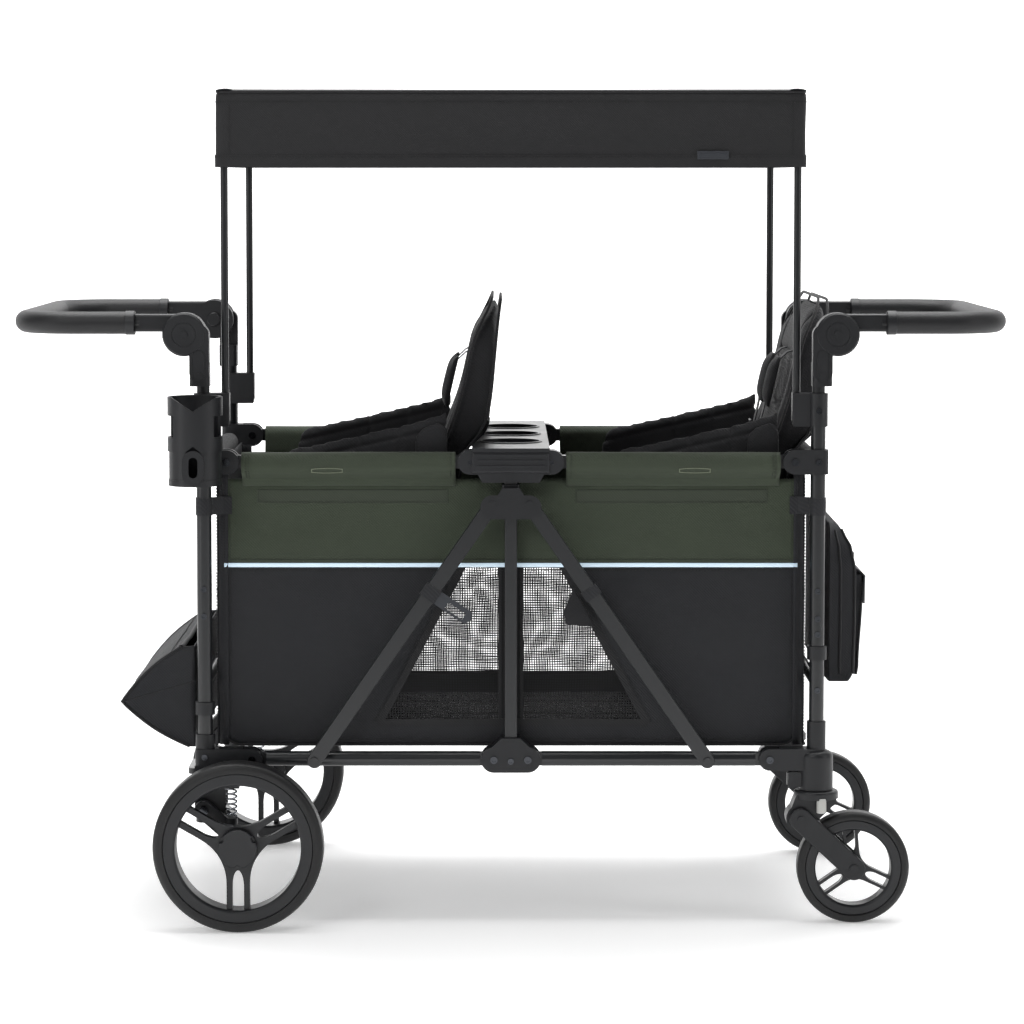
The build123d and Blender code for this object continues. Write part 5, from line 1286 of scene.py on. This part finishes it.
        push(shape, place)
        pad = piece("rear_seat_cushion", shape, "rear_frame", "seat_cloth")
        inflate(pad, 0.006)
        one_finer(pad)
        middle_x = PAN_FRONT - PAN_DEPTH / 2

        def seams(point):
            if point.z < low.z + 0.02:
                return 0.0
            deep = max(groove(point.y - y, 0.0045) for y in (-0.11, 0.11))
            if abs(point.y) < 0.11:
                deep = max(deep, *(groove(point.x - middle_x - x, 0.0045)
                                   for x in (-0.045, 0.0, 0.045)))
            return 0.0045 * deep

        return sew(pad, seams)

    def wings(self):
        """Padded side wings that slope from the back down to the rail."""
        shape = bmesh.new()
        tail, head = PAN_FRONT - PAN_DEPTH - 0.018, BACK_FOOT.x + 0.004
        for side in (-1, 1):
            first = len(shape.verts)
            grid_block(shape, (0, -1, 0), (1, 1, 1), (22, 2, 10))
            shape.verts.ensure_lookup_table()
            for vert in shape.verts[first:]:
                p = vert.co.copy()
                x = tail + p.x * (head - tail)
                nose = math.sqrt(max(0.0, 1 - (1 - min(1.0, p.x / 0.10)) ** 2))
                top = 0.699 + 0.058 * p.x
                foot = PAN_BOX[1].z - 0.006
                z = foot + (top - foot) * p.z * (0.82 + 0.18 * nose)
                thick = 0.0075 * (1 - 0.45 * p.z ** 3) * (0.6 + 0.4 * nose)
                crease = 0.0025 * soft_noise((x * 1.5, side, z * 1.5), 0.05, 6.0)
                vert.co = Vector((x, side * 0.2205 + p.y * thick + crease, z))
        pad = piece("rear_seat_wings", shape, "rear_frame", "seat_cloth")
        inflate(pad, 0.0045, pressure=3.0, voxel=0.005)

        def seams(point):
            share = (point.x - tail) / (head - tail)
            top = 0.699 + 0.058 * share
            deep = groove(point.z - (top - 0.022), 0.0035)
            for x in (-0.225, -0.165):
                deep = max(deep, 0.7 * groove(point.x - x, 0.004))
            return 0.0030 * deep

        return sew(one_finer(pad), seams)

    def side_flaps(self):
        """Rounded soft flaps between the wings and the back, over its hinge straps."""
        shape = bmesh.new()
        for side in (-1, 1):
            first = len(shape.verts)
            grid_block(shape, (-1, -1, 0), (1, 1, 1), (8, 3, 12))
            shape.verts.ensure_lookup_table()
            for vert in shape.verts[first:]:
                p = vert.co.copy()
                round_top = math.sqrt(max(0.0, 1 - max(0.0, (p.z - 0.72) / 0.28) ** 2))
                x = BACK_FOOT.x - 0.024 + p.x * 0.025 * (0.45 + 0.55 * round_top)
                z = 0.625 + p.z * 0.113 + 0.004 * p.x
                y = side * 0.2345 + p.y * 0.0050 * (0.5 + 0.5 * round_top)
                vert.co = Vector((x, y, z))
        pad = piece("rear_seat_flaps", shape, "rear_frame", "seat_cloth")
        inflate(pad, 0.0025, pressure=3.0, voxel=0.004)
        return one_finer(pad)


# ---- Ends and floor ------------------------------------------------------------------------------
class WAGON_OT_end_panels(bpy.types.Operator):
    """Sews the two end panels with their padded top rolls"""

    bl_idname = "wagon.end_panels"
    bl_label = "End panels"

    def execute(self, context):
        sizes = context.scene.wagon_sizes
        low, high = END_PANEL_BOX
        x, half = -POST_X + 0.018, high.y - 0.002
        top = RAIL_Z - 0.008
        rear = bmesh.new()
        flat_grid(rear, (x, -half, low.z), (0, 2 * half, 0), (0, 0, top - low.z), 44, 40)

        def place(p):
            v, w = p.y / half, (p.z - low.z) / (top - low.z)
            puff = (1 - v ** 4) * (1 - abs(2 * w - 1) ** 3)
            crease = soft_noise((0.0, p.y * 0.8, p.z * 0.8), 0.07, 9.0)
            return Vector((p.x - 0.0055 * puff - 0.0016 * crease * puff ** 0.5, p.y, p.z))

        push(rear, place)
        trim = bmesh.new()
        for z in (low.z + 0.012, 0.480, 0.490):
            row = [place(Vector((x, -half + 0.01 + i * (2 * half - 0.02) / 24, z)))
                   - Vector((0.0019, 0, 0)) for i in range(25)]
            stitches(trim, row, sizes.stitch_pitch)
        for y in (-half + 0.009, half - 0.009):
            row = [place(Vector((x, y, low.z + 0.015 + i * (top - low.z - 0.03) / 20)))
                   - Vector((0.0019, 0, 0)) for i in range(21)]
            stitches(trim, row, sizes.stitch_pitch)
        roll = self.roll(half)
        for end, source in (("rear", None), ("front", "turn")):
            for name, shape, key, pad in ((f"{end}_end_cloth", rear, "lower_cloth", False),
                                          (f"{end}_end_stitching", trim, "dark_thread", False),
                                          (f"{end}_end_roll", roll, "seat_cloth", True)):
                copy = shape.copy()
                if source:
                    turned_end(copy)
                thing = piece(name, copy, f"{end}_frame", key,
                              smooth=key != "dark_thread")
                if pad:
                    inflate(thing, 0.003, pressure=2.0, voxel=0.006)
                    one_finer(thing)
                if name.endswith("cloth"):
                    wall_thickness(thing, 0.0024)
                    final_mesh(thing)
            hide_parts(f"{end}_end_panel")
        for shape in (rear, trim, roll):
            shape.free()
        return {"FINISHED"}

    def roll(self, half):
        """Padded roll over the end's top tube, gathered a little at its ends."""
        shape = bmesh.new()
        centre = Vector((-POST_X, 0, RAIL_Z - 0.005))
        grid_block(shape, (-1, -1, -1), (1, 1, 1), (5, 40, 5))

        def place(p):
            square = max(abs(p.x), abs(p.z), 1e-6)
            reach = square / math.hypot(p.x, p.z) if math.hypot(p.x, p.z) > 1e-6 else 0.0
            narrow = 0.80 + 0.20 * (1 - abs(p.y) ** 10)
            crease = 1 + 0.03 * soft_noise((p.x * 0.02, p.y * half, p.z * 0.02), 0.03, 2.0)
            radius = 0.0168 * narrow * crease
            return centre + Vector((p.x * reach * radius, p.y * (half - 0.004),
                                    p.z * reach * radius))

        push(shape, place)
        return shape


class WAGON_OT_corner_cloth(bpy.types.Operator):
    """Closes the four corners between the side walls and the end panels"""

    bl_idname = "wagon.corner_cloth"
    bl_label = "Corner cloth"

    def execute(self, context):
        for end, sign in (("rear", -1), ("front", 1)):
            shape = bmesh.new()
            start, out = WALL_END - 0.006, POST_X - 0.019
            route = [Vector((sign * (start + (out - start) * math.sin(i * math.pi / 16)),
                             -(WALL_Y - 0.010 + 0.012 * math.cos(i * math.pi / 16)), 0))
                     for i in range(9)]
            first = [shape.verts.new(place + Vector((0, 0, WALL_BOTTOM))) for place in route]
            edges = [shape.edges.new(pair) for pair in zip(first, first[1:])]
            for _ in range(30):
                made = bmesh.ops.extrude_edge_only(shape, edges=edges)["geom"]
                new = [item for item in made if isinstance(item, bmesh.types.BMVert)]
                bmesh.ops.translate(shape, vec=(0, 0, (RAIL_Z - 0.012 - WALL_BOTTOM) / 30),
                                    verts=new)
                edges = [item for item in made if isinstance(item, bmesh.types.BMEdge)
                         and all(vert in new for vert in item.verts)]
            push(shape, lambda p: p + Vector((0, 0.0015 * soft_noise(p, 0.04, 3.0), 0)))
            across(shape)
            cloth = piece(f"{end}_corner_cloth", shape, f"{end}_frame", "lower_cloth")
            wall_thickness(cloth, 0.0022)
            final_mesh(cloth)
        return {"FINISHED"}


class WAGON_OT_floor_mat(bpy.types.Operator):
    """Lays the quilted mat on the wagon's floor"""

    bl_idname = "wagon.floor_mat"
    bl_label = "Floor mat"

    def execute(self, context):
        low, high = FLOOR_BOX
        shape = bmesh.new()
        flat_grid(shape, (low.x + 0.001, low.y + 0.001, low.z),
                  (high.x - low.x - 0.002, 0, 0), (0, high.y - low.y - 0.002, 0), 150, 84)

        def place(p):
            u, v = p.x / high.x, p.y / high.y
            quilt = max(groove(math.fmod(abs(p.x) + 0.054, 0.108) - 0.054, 0.006),
                        groove(math.fmod(abs(p.y) + 0.061, 0.122) - 0.061, 0.006))
            soft = soft_noise((p.x, p.y, 0), 0.06, 4.0)
            rim = (1 - u ** 20) * (1 - v ** 20)
            return Vector((p.x, p.y, low.z + 0.003 + rim * (0.0035 * (1 - quilt) + 0.0008 * soft)))

        push(shape, place)
        mat = piece("floor_mat_cloth", shape, "rear_frame", "lower_cloth")
        wall_thickness(mat, 0.0030)
        crumple(mat)
        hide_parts("floor_mat")
        return {"FINISHED"}


# ---- Basket and bag ------------------------------------------------------------------------------
class WAGON_OT_rear_basket(bpy.types.Operator):
    """Sews the wedge-shaped storage basket that hangs on the rear end"""

    bl_idname = "wagon.rear_basket"
    bl_label = "Rear basket"

    def execute(self, context):
        sizes = context.scene.wagon_sizes
        low, high = BASKET_BOX
        half = high.y - 0.001
        back = high.x - 0.001
        rise = high.z - low.z
        tip = Vector((low.x + 0.001, 0, low.z + rise * 0.432))
        foot = Vector((back - 0.008, 0, low.z + 0.002))
        lip = Vector((back - 0.020, 0, high.z - 0.004))

        def section(share):
            """Outer line of the basket: from the foot out to the tip, then up to the lip."""
            bend = 0.46
            if share < bend:
                part = share / bend
                sag = 0.006 * math.sin(math.pi * part)
                return foot.lerp(tip, part) + Vector((-sag * 0.5, 0, -sag))
            part = (share - bend) / (1 - bend)
            puff = 0.005 * math.sin(math.pi * part)
            return tip.lerp(lip, part) + Vector((-puff, 0, puff))

        shape = bmesh.new()
        grid_block(shape, (0, -1, 0), (1, 1, 1), (12, 30, 27))
        lid = [face for face in shape.faces if face.calc_center_median().z > 0.999]
        bmesh.ops.delete(shape, geom=lid, context="FACES")

        def place(p):
            outer = section(p.z)
            inner = Vector((back, 0, foot.z + p.z * (high.z - 0.002 - foot.z)))
            spot = inner.lerp(outer, p.x)
            drawn = 0.012 * math.sin(math.pi * min(1.0, p.z)) * math.sin(math.pi * p.x * 0.5)
            middle_share = 1 - abs(p.y) ** 3
            crease = soft_noise((spot.x * 0.8, p.y * half * 0.6, spot.z * 0.8), 0.05, 11.0)
            spot.x -= 0.0022 * crease * middle_share * p.x
            spot.z += (0.0015 * crease - 0.005 * smooth_step(p.z, 0.9, 1.0) * p.x) * middle_share
            return Vector((spot.x, p.y * (half - drawn), spot.z))

        push(shape, place)
        shell = piece("basket_cloth", shape, "rear_frame", "lower_cloth")
        wall_thickness(shell, 0.0022)
        trim = self.trims(sizes, place)
        final_mesh(shell)
        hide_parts("storage_basket")
        return {"FINISHED"}

    def trims(self, sizes, place):
        """Bound rim, piped side edges, the fold line and the row of stitches under the rim."""
        shape = bmesh.new()
        rim = [place(Vector((1.0, -1 + i / 12, 1.0))) for i in range(25)]
        cord_line(shape, rim, 0.0036)
        for y in (-1.0, 1.0):
            edge = [place(Vector((1.0, y, 1 - i / 26))) for i in range(27)]
            cord_line(shape, edge, 0.0026)
            fold = [place(Vector((1 - i / 10, y * 1.003, 0.46 + 0.19 * i / 10)))
                    for i in range(11)]
            cord_line(shape, fold, 0.0011)
        count = len(shape.faces)
        row = [place(Vector((1.0, -0.97 + i * 1.94 / 24, 0.93))) + Vector((-0.0016, 0, 0.0016))
               for i in range(25)]
        stitches(shape, row, sizes.stitch_pitch)
        shape.faces.ensure_lookup_table()
        for face in shape.faces[count:]:
            face.material_index = 1
        return piece("basket_binding", shape, "rear_frame", "binding",
                     keys=("dark_thread",))


class WAGON_OT_front_bag(bpy.types.Operator):
    """Sews the organiser bag on the front end: main bag, outer pocket, zips and flap"""

    bl_idname = "wagon.front_bag"
    bl_label = "Front bag"

    def execute(self, context):
        sizes = context.scene.wagon_sizes
        low, high = BAG_BOX
        back, out = low.x, high.x
        half = high.y - 0.001
        top, foot = high.z - 0.003, low.z + 0.002
        face_line = ((foot, 0.034), (foot + 0.012, 0.042), (foot + 0.10, 0.0445),
                     (foot + 0.165, 0.0445), (foot + 0.200, 0.038), (top - 0.012, 0.024),
                     (top, 0.014))

        def depth(z):
            for (z0, d0), (z1, d1) in zip(face_line, face_line[1:]):
                if z <= z1:
                    return d0 + (d1 - d0) * smooth_step(z, z0, z1)
            return face_line[-1][1]

        def bag_place(p):
            z = foot + p.z * (top - foot)
            across_share = 1 - abs(p.y) ** 3
            body = math.sin(math.pi * min(1.0, max(0.0, p.z))) ** 0.5
            x = back + 0.001 + p.x * (depth(z) * (0.90 + 0.10 * across_share) - 0.001)
            y = p.y * (half - 0.009 * body * (0.3 + 0.7 * p.x) - 0.030 * smooth_step(p.z, 0.75, 1.0)
                       * p.x)
            crease = soft_noise((x, y * 0.6, z), 0.055, 7.0)
            z -= 0.004 * across_share * (1 - p.z) ** 4
            return Vector((x + 0.0022 * crease * body * across_share * p.x, y, z))

        def pocket_place(p):
            z = foot + 0.008 + p.z * 0.152
            across_share = 1 - abs(p.y) ** 4
            x = back + 0.030 + p.x * (depth(z) - 0.030 + 0.004 + 0.007 * smooth_step(p.z, 0.1, 1.0)
                                      * (0.6 + 0.4 * across_share))
            y = p.y * (half - 0.020 - 0.006 * math.sin(math.pi * p.z))
            crease = soft_noise((x, y * 0.6, z), 0.045, 9.0)
            return Vector((x + 0.0018 * crease * across_share * p.x, y, z))

        for name, place, cuts, rounding, fill in (
                ("bag_body", bag_place, (6, 26, 22), 0.008, 0.55),
                ("bag_pocket", pocket_place, (5, 24, 14), 0.006, 0.5)):
            shape = bmesh.new()
            grid_block(shape, (0, -1, 0), (1, 1, 1), cuts)
            seams = [edge for edge in shape.edges if edge.calc_face_angle(0) > 1.0]
            push(shape, place)
            soften(shape, seams, rounding, 3)
            bag = piece(name, shape, "front_frame", "lower_cloth")
            one_finer(bag)
            if name == "bag_body":
                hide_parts("organiser_bag")
        self.flap(foot + 0.166, out, half)
        self.lines(sizes, bag_place, pocket_place)
        return {"FINISHED"}

    def flap(self, top, out, half):
        """The pocket's cloth flap, which hangs a little away from it."""
        shape = bmesh.new()
        tall, reach = 0.052, half - 0.018
        flat_grid(shape, (0, -reach, top - tall), (0, 2 * reach, 0), (0, 0, tall), 34, 10)

        def place(p):
            share = (top - p.z) / tall
            wave = 0.0014 * soft_noise((0, p.y, 0), 0.045, 5.0) * share
            corner = smooth_step(abs(p.y) / reach, 0.93, 1.0) * share
            x = out - 0.015 + 0.0135 * smooth_step(share, 0.0, 0.16) + wave
            return Vector((x - 0.004 * corner, p.y, p.z + 0.006 * corner))

        push(shape, place)
        cloth = piece("bag_flap", shape, "front_frame", "lower_cloth")
        wall_thickness(cloth, 0.0030)
        final_mesh(cloth)

    def lines(self, sizes, bag_place, pocket_place):
        """Piped side seams, the bag's zip over its front, its coil and its puller."""
        shape = bmesh.new()
        for y in (-1.0, 1.0):
            for x in (1.0, 0.45):
                cord_line(shape, [bag_place(Vector((x, y, i / 20))) for i in range(1, 20)], 0.0022)
            cord_line(shape, [pocket_place(Vector((1.0, y, i / 12))) for i in range(12)], 0.0020)
        piece("bag_binding", shape, "front_frame", "binding")
        zips = bmesh.new()
        route = [bag_place(Vector((1.0, -0.93 + i * 1.86 / 24, 0.80))) + Vector((0.0012, 0, 0))
                 for i in range(25)]
        tape(zips, route, (-0.4, 0, 1), 0.022, 0.0014)
        count = len(zips.faces)
        stitches(zips, [p + Vector((0.0006, 0, 0)) for p in route], 0.0030, 0.62, 0.0015)
        zips.faces.ensure_lookup_table()
        for face in zips.faces[count:]:
            face.material_index = 1
        puller = route[2] + Vector((0.003, 0, -0.012))
        made = bmesh.ops.create_cube(zips, size=1.0, matrix=Matrix.Translation(puller)
                                     @ Matrix.Diagonal((0.0024, 0.007, 0.022, 1.0)))
        soften(zips, edges_of(made["verts"]), 0.0009)
        piece("bag_zip", zips, "front_frame", "binding", smooth=False,
              keys=("zip",))


class WAGON_OT_post_straps(bpy.types.Operator):
    """Adds the tapes that tie the side walls to the corner posts"""

    bl_idname = "wagon.post_straps"
    bl_label = "Post straps"

    def execute(self, context):
        for end, sign in (("rear", -1), ("front", 1)):
            shape = bmesh.new()
            for height, tall in ((0.619, 0.026),):
                outside = POST_RADIUS + 0.0014
                points = []
                for step in range(13):
                    angle = math.radians(200 - step * 220 / 12)
                    points.append((POST_X + outside * math.cos(angle),
                                   POST_Y + outside * math.sin(angle)))
                points = [(WALL_END - 0.012, WALL_Y + 0.0035), (WALL_END, WALL_Y + 0.0045)] \
                    + [(x, y) for x, y in reversed(points)][::-1]
                route = [Vector((sign * x, -y, height)) for x, y in points]
                tape(shape, route, (0, 0, 1), tall, 0.0014)
            across(shape)
            piece(f"{end}_post_straps", shape, f"{end}_frame", "webbing",
                  smooth=False)
        return {"FINISHED"}


# ---- Small hardware ------------------------------------------------------------------------------
SPRING_RADIUS = 0.0078
SPRING_WIRE = 0.0015
SPRING_TURNS = 5.5


class WAGON_OT_wheel_springs(bpy.types.Operator):
    """Winds the rear suspension springs and sets the casters' white buffers"""

    bl_idname = "wagon.wheel_springs"
    bl_label = "Wheel springs"

    def execute(self, context):
        foot, head, x, y = 0.1605, 0.2045, -0.412, 0.292
        for name, side in (("right", -1), ("left", 1)):
            shape = bmesh.new()
            steps = int(SPRING_TURNS * 24)
            start = Vector((x + SPRING_RADIUS, side * y, foot + SPRING_WIRE))
            place = Matrix.Translation(start) @ Matrix.Rotation(math.radians(90), 4, "X")
            ring = bmesh.ops.create_circle(shape, segments=8, radius=SPRING_WIRE, matrix=place)
            rise = (head - foot - 2 * SPRING_WIRE) / steps
            bmesh.ops.spin(shape, geom=ring["verts"] + edges_of(ring["verts"]),
                           cent=(x, side * y, 0), axis=(0, 0, 1), dvec=(0, 0, rise),
                           angle=SPRING_TURNS * 2 * math.pi, steps=steps, use_duplicate=False)
            bmesh.ops.holes_fill(shape, edges=[e for e in shape.edges if e.is_boundary])
            coil = piece(f"rear_{name}_spring_coil", shape, "rear_frame", "spring")
            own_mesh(coil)
            buffer = bmesh.new()
            bmesh.ops.create_cone(buffer, cap_ends=True, segments=28, radius1=0.0072,
                                  radius2=0.0072, depth=0.022,
                                  matrix=Matrix.Translation((0.458, side * y, 0.178)))
            soften(buffer, [e for e in buffer.edges if e.calc_face_angle(0) > 1.0], 0.0016)
            piece(f"caster_{name}_buffer", buffer, f"caster_{name}_swivel", "elastomer")
        return {"FINISHED"}


class WAGON_OT_grip_details(bpy.types.Operator):
    """Adds the handles' end cuffs, grip seams and stitches"""

    bl_idname = "wagon.grip_details"
    bl_label = "Grip details"

    def execute(self, context):
        low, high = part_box("front_handle_grip")
        start, end = low.x, high.x
        y, z, corner = POST_Y - 0.006, (low.z + high.z) / 2, 0.062
        radius = (high.z - low.z) / 2
        reach = end - radius
        shape = bmesh.new()
        for side in (-1, 1):
            band(shape, (start + 0.003, side * y, z), (1, 0, 0), 0.0135, radius + 0.0012, 0.014)
        count = len(shape.faces)
        path = [(start + 0.015, -y), (reach - corner, -y)]
        path += rounded_corner(reach - corner, -y + corner, -math.pi / 2, math.pi / 2, corner)
        path += rounded_corner(reach - corner, y - corner, 0.0, math.pi / 2, corner)
        path += [(start + 0.015, y)]
        below = math.radians(-62)
        route = [Vector((x, v, z)) for x, v in dense(path, 0.015)]
        inward = []
        for place in route:
            centre = Vector((min(place.x, reach - corner),
                             max(-y + corner, min(y - corner, place.y)), z))
            away = place - centre
            away.normalize()
            inward.append(place - away * (radius + 0.0002) * math.cos(below)
                          + Vector((0, 0, (radius + 0.0002) * math.sin(below))))
        stitches(shape, inward, 0.0065, 0.62, 0.0007)
        shape.faces.ensure_lookup_table()
        for face in shape.faces[count:]:
            face.material_index = 1
        rear = turned_end(shape.copy())
        for end_name, each in (("front", shape), ("rear", rear)):
            piece(f"{end_name}_grip_details", each, f"{end_name}_handle_swing", "plastic",
                  smooth=False, keys=("dark_thread",))
        return {"FINISHED"}


class WAGON_OT_brace_tabs(bpy.types.Operator):
    """Adds the pull strap on one brace and the strap and patch on the other"""

    bl_idname = "wagon.brace_tabs"
    bl_label = "Brace tabs"

    def execute(self, context):
        foot, head = Vector((-0.2897, -0.2853, LOW_RAIL_Z)), Vector((-0.0273, -0.2853, 0.624))
        along = (head - foot).normalized()
        down = Vector((-along.z, 0, along.x)) * -1
        start = foot + (head - foot) * 0.655
        strap = bmesh.new()
        self.loop(strap, start, along, down, 0.021)
        tab = bmesh.new()
        half = 0.0105
        made = flat_grid(tab, (0.010, 0, -half), (0.062, 0, 0), (0, 0, 2 * half), 16, 6)
        slot = [face for face in tab.faces if 0.030 < face.calc_center_median().x < 0.060
                and abs(face.calc_center_median().z) < half * 0.5]
        bmesh.ops.delete(tab, geom=slot, context="FACES")
        for vert in made:
            if vert.is_valid:
                beyond = vert.co.x - (0.072 - half)
                if beyond > 0:
                    limit = math.sqrt(max(0.0, half * half - beyond * beyond))
                    vert.co.z = max(-limit, min(limit, vert.co.z))
        bmesh.ops.solidify(tab, geom=tab.faces[:], thickness=0.0022)

        def place(p):
            return start + down * p.x + along * p.z + Vector((0, p.y - 0.0035 + 0.10 * p.x, 0))

        push(tab, place)
        piece("brace_pull_tab", tab, "rear_brace_pair", "grey_tab",
              smooth=False)
        piece("brace_pull_strap", strap, "rear_brace_pair", "webbing",
              smooth=False)
        strap = bmesh.new()
        start = Vector((-start.x, start.y, start.z))
        along = Vector((-along.x, 0, along.z))
        self.loop(strap, start, along, Vector((-down.x, 0, down.z)), 0.016)
        piece("brace_strap", strap, "front_brace_pair", "webbing",
              smooth=False)
        patch = bmesh.new()
        corners = ((0.0925, 0.499), (0.0785, 0.466), (0.0800, 0.445), (0.1240, 0.441),
                   (0.1100, 0.470))
        face = patch.faces.new([patch.verts.new((x, -0.2760, z)) for x, z in corners])
        made = bmesh.ops.extrude_face_region(patch, geom=[face])
        bmesh.ops.translate(patch, vec=(0, 0.006, 0), verts=[
            item for item in made["geom"] if isinstance(item, bmesh.types.BMVert)])
        soften(patch, patch.edges[:], 0.0022, 3)
        piece("brace_patch", patch, "front_brace_pair", "seat_cloth")
        return {"FINISHED"}

    def loop(self, shape, centre, along, out_way, width):
        """A strap wound once round a brace."""
        half, back, front = 0.0128, 0.0048, -0.0048
        turns = [(half, back), (-half, back), (-half, front), (half, front), (half, back)]
        points = [centre + out_way * u + Vector((0, v, 0)) for u, v in turns]
        tape(shape, points, along, width, 0.0012)


# ---- Stage ---------------------------------------------------------------------------------------
class WAGON_OT_stage(bpy.types.Operator):
    """Lays the pale floor and backdrop and sets the soft studio light and the camera"""

    bl_idname = "wagon.stage"
    bl_label = "Stage"

    def execute(self, context):
        self.ground("floor", 0.30, (0, 0, 0), 0.0)
        self.ground("backdrop", 1.0, (0, 4.2, 0), 90.0)
        world = context.scene.world or bpy.data.worlds.new("studio")
        context.scene.world = world
        world.use_nodes = True
        background = world.node_tree.nodes["Background"]
        background.inputs["Color"].default_value = (1.0, 1.0, 1.0, 1.0)
        background.inputs["Strength"].default_value = 0.11
        self.lights(context)
        self.camera(context)
        return {"FINISHED"}

    def ground(self, name, glow, where, tilt):
        """A large matt white sheet that glows a little, so that it stays white in the picture."""
        material, tree, place = new_material(
            "matt_white_" + name, IOR=1.45, Roughness=0.9, Base_Color=linear("F6F6F6"),
            Emission_Color=linear("FFFFFF"), Emission_Strength=glow)
        shape = bmesh.new()
        turn = Matrix.Translation(where) @ Matrix.Rotation(math.radians(tilt), 4, "X")
        bmesh.ops.create_grid(shape, x_segments=1, y_segments=1, size=9.0, matrix=turn)
        mesh = bpy.data.meshes.new(name)
        shape.to_mesh(mesh)
        shape.free()
        mesh.materials.append(material)
        sheet = bpy.data.objects.new(name, mesh)
        bpy.context.scene.collection.objects.link(sheet)

    def lights(self, context):
        plan = (("key_softbox", (-1.8, -3.4, 2.8), (-0.05, 0.0, 0.6), 1.6, 1.0, 34.0),
                ("overhead_softbox", (0.0, 0.4, 3.2), (0.0, 0.2, 0.0), 3.4, 2.4, 135.0),
                ("side_softbox", (3.0, -1.4, 1.6), (0.1, 0.0, 0.6), 0.6, 2.0, 14.0),
                ("low_softbox", (-3.0, -1.8, 1.0), (-0.2, 0.0, 0.5), 0.6, 1.6, 9.0))
        for name, where, target, width, height, power in plan:
            data = bpy.data.lights.new(name, "AREA")
            data.shape, data.size, data.size_y, data.energy = "RECTANGLE", width, height, power
            light = bpy.data.objects.new(name, data)
            light.location = where
            light.rotation_euler = (Vector(target) - Vector(where)).to_track_quat(
                "-Z", "Y").to_euler()
            context.scene.collection.objects.link(light)

    def camera(self, context):
        data = bpy.data.cameras.new("camera")
        data.lens, data.sensor_width = 120.7, 36.0
        data.clip_end = 60.0
        data.shift_x, data.shift_y = CAMERA_SHIFT
        camera = bpy.data.objects.new("camera", data)
        camera.location = CAMERA_PLACE
        camera.rotation_euler = (math.radians(90) - CAMERA_PITCH, 0.0, 0.0)
        context.scene.collection.objects.link(camera)
        context.scene.camera = camera
        context.scene.view_settings.view_transform = "Standard"


CAMERA_PLACE = (-0.0205, -5.3, 1.105)
CAMERA_PITCH = math.radians(4.2)
CAMERA_SHIFT = (0.0147, -0.0825)

STEPS = (WAGON_OT_finish_frame, WAGON_OT_side_walls, WAGON_OT_rail_sleeves, WAGON_OT_canopy,
         WAGON_OT_seats, WAGON_OT_end_panels, WAGON_OT_corner_cloth, WAGON_OT_floor_mat,
         WAGON_OT_rear_basket,
         WAGON_OT_front_bag, WAGON_OT_post_straps, WAGON_OT_wheel_springs,
         WAGON_OT_grip_details, WAGON_OT_brace_tabs, WAGON_OT_stage)


class WAGON_PT_sidebar(bpy.types.Panel):
    """Sizes, colours and steps of the wagon"""

    bl_idname = "WAGON_PT_sidebar"
    bl_label = "Pull Wagon"
    bl_space_type = "VIEW_3D"
    bl_region_type = "UI"
    bl_category = "Wagon"

    def draw(self, context):
        layout = self.layout
        for group in (context.scene.wagon_colours, context.scene.wagon_sizes):
            box = layout.box()
            for name in group.bl_rna.properties.keys():
                if name not in {"rna_type", "name"}:
                    box.prop(group, name)
        for step in STEPS:
            layout.operator(step.bl_idname)


CLASSES = (WagonColours, WagonSizes, *STEPS, WAGON_PT_sidebar)


def register():
    for each in CLASSES:
        bpy.utils.register_class(each)
    bpy.types.Scene.wagon_colours = bpy.props.PointerProperty(type=WagonColours)
    bpy.types.Scene.wagon_sizes = bpy.props.PointerProperty(type=WagonSizes)


def unregister():
    del bpy.types.Scene.wagon_sizes
    del bpy.types.Scene.wagon_colours
    for each in reversed(CLASSES):
        bpy.utils.unregister_class(each)


def main():
    register()
    for step in STEPS:
        group, name = step.bl_idname.split(".")
        if getattr(getattr(bpy.ops, group), name)() != {"FINISHED"}:
            raise RuntimeError(f"{step.bl_label} did not finish")


if __name__ == "__main__":
    main()
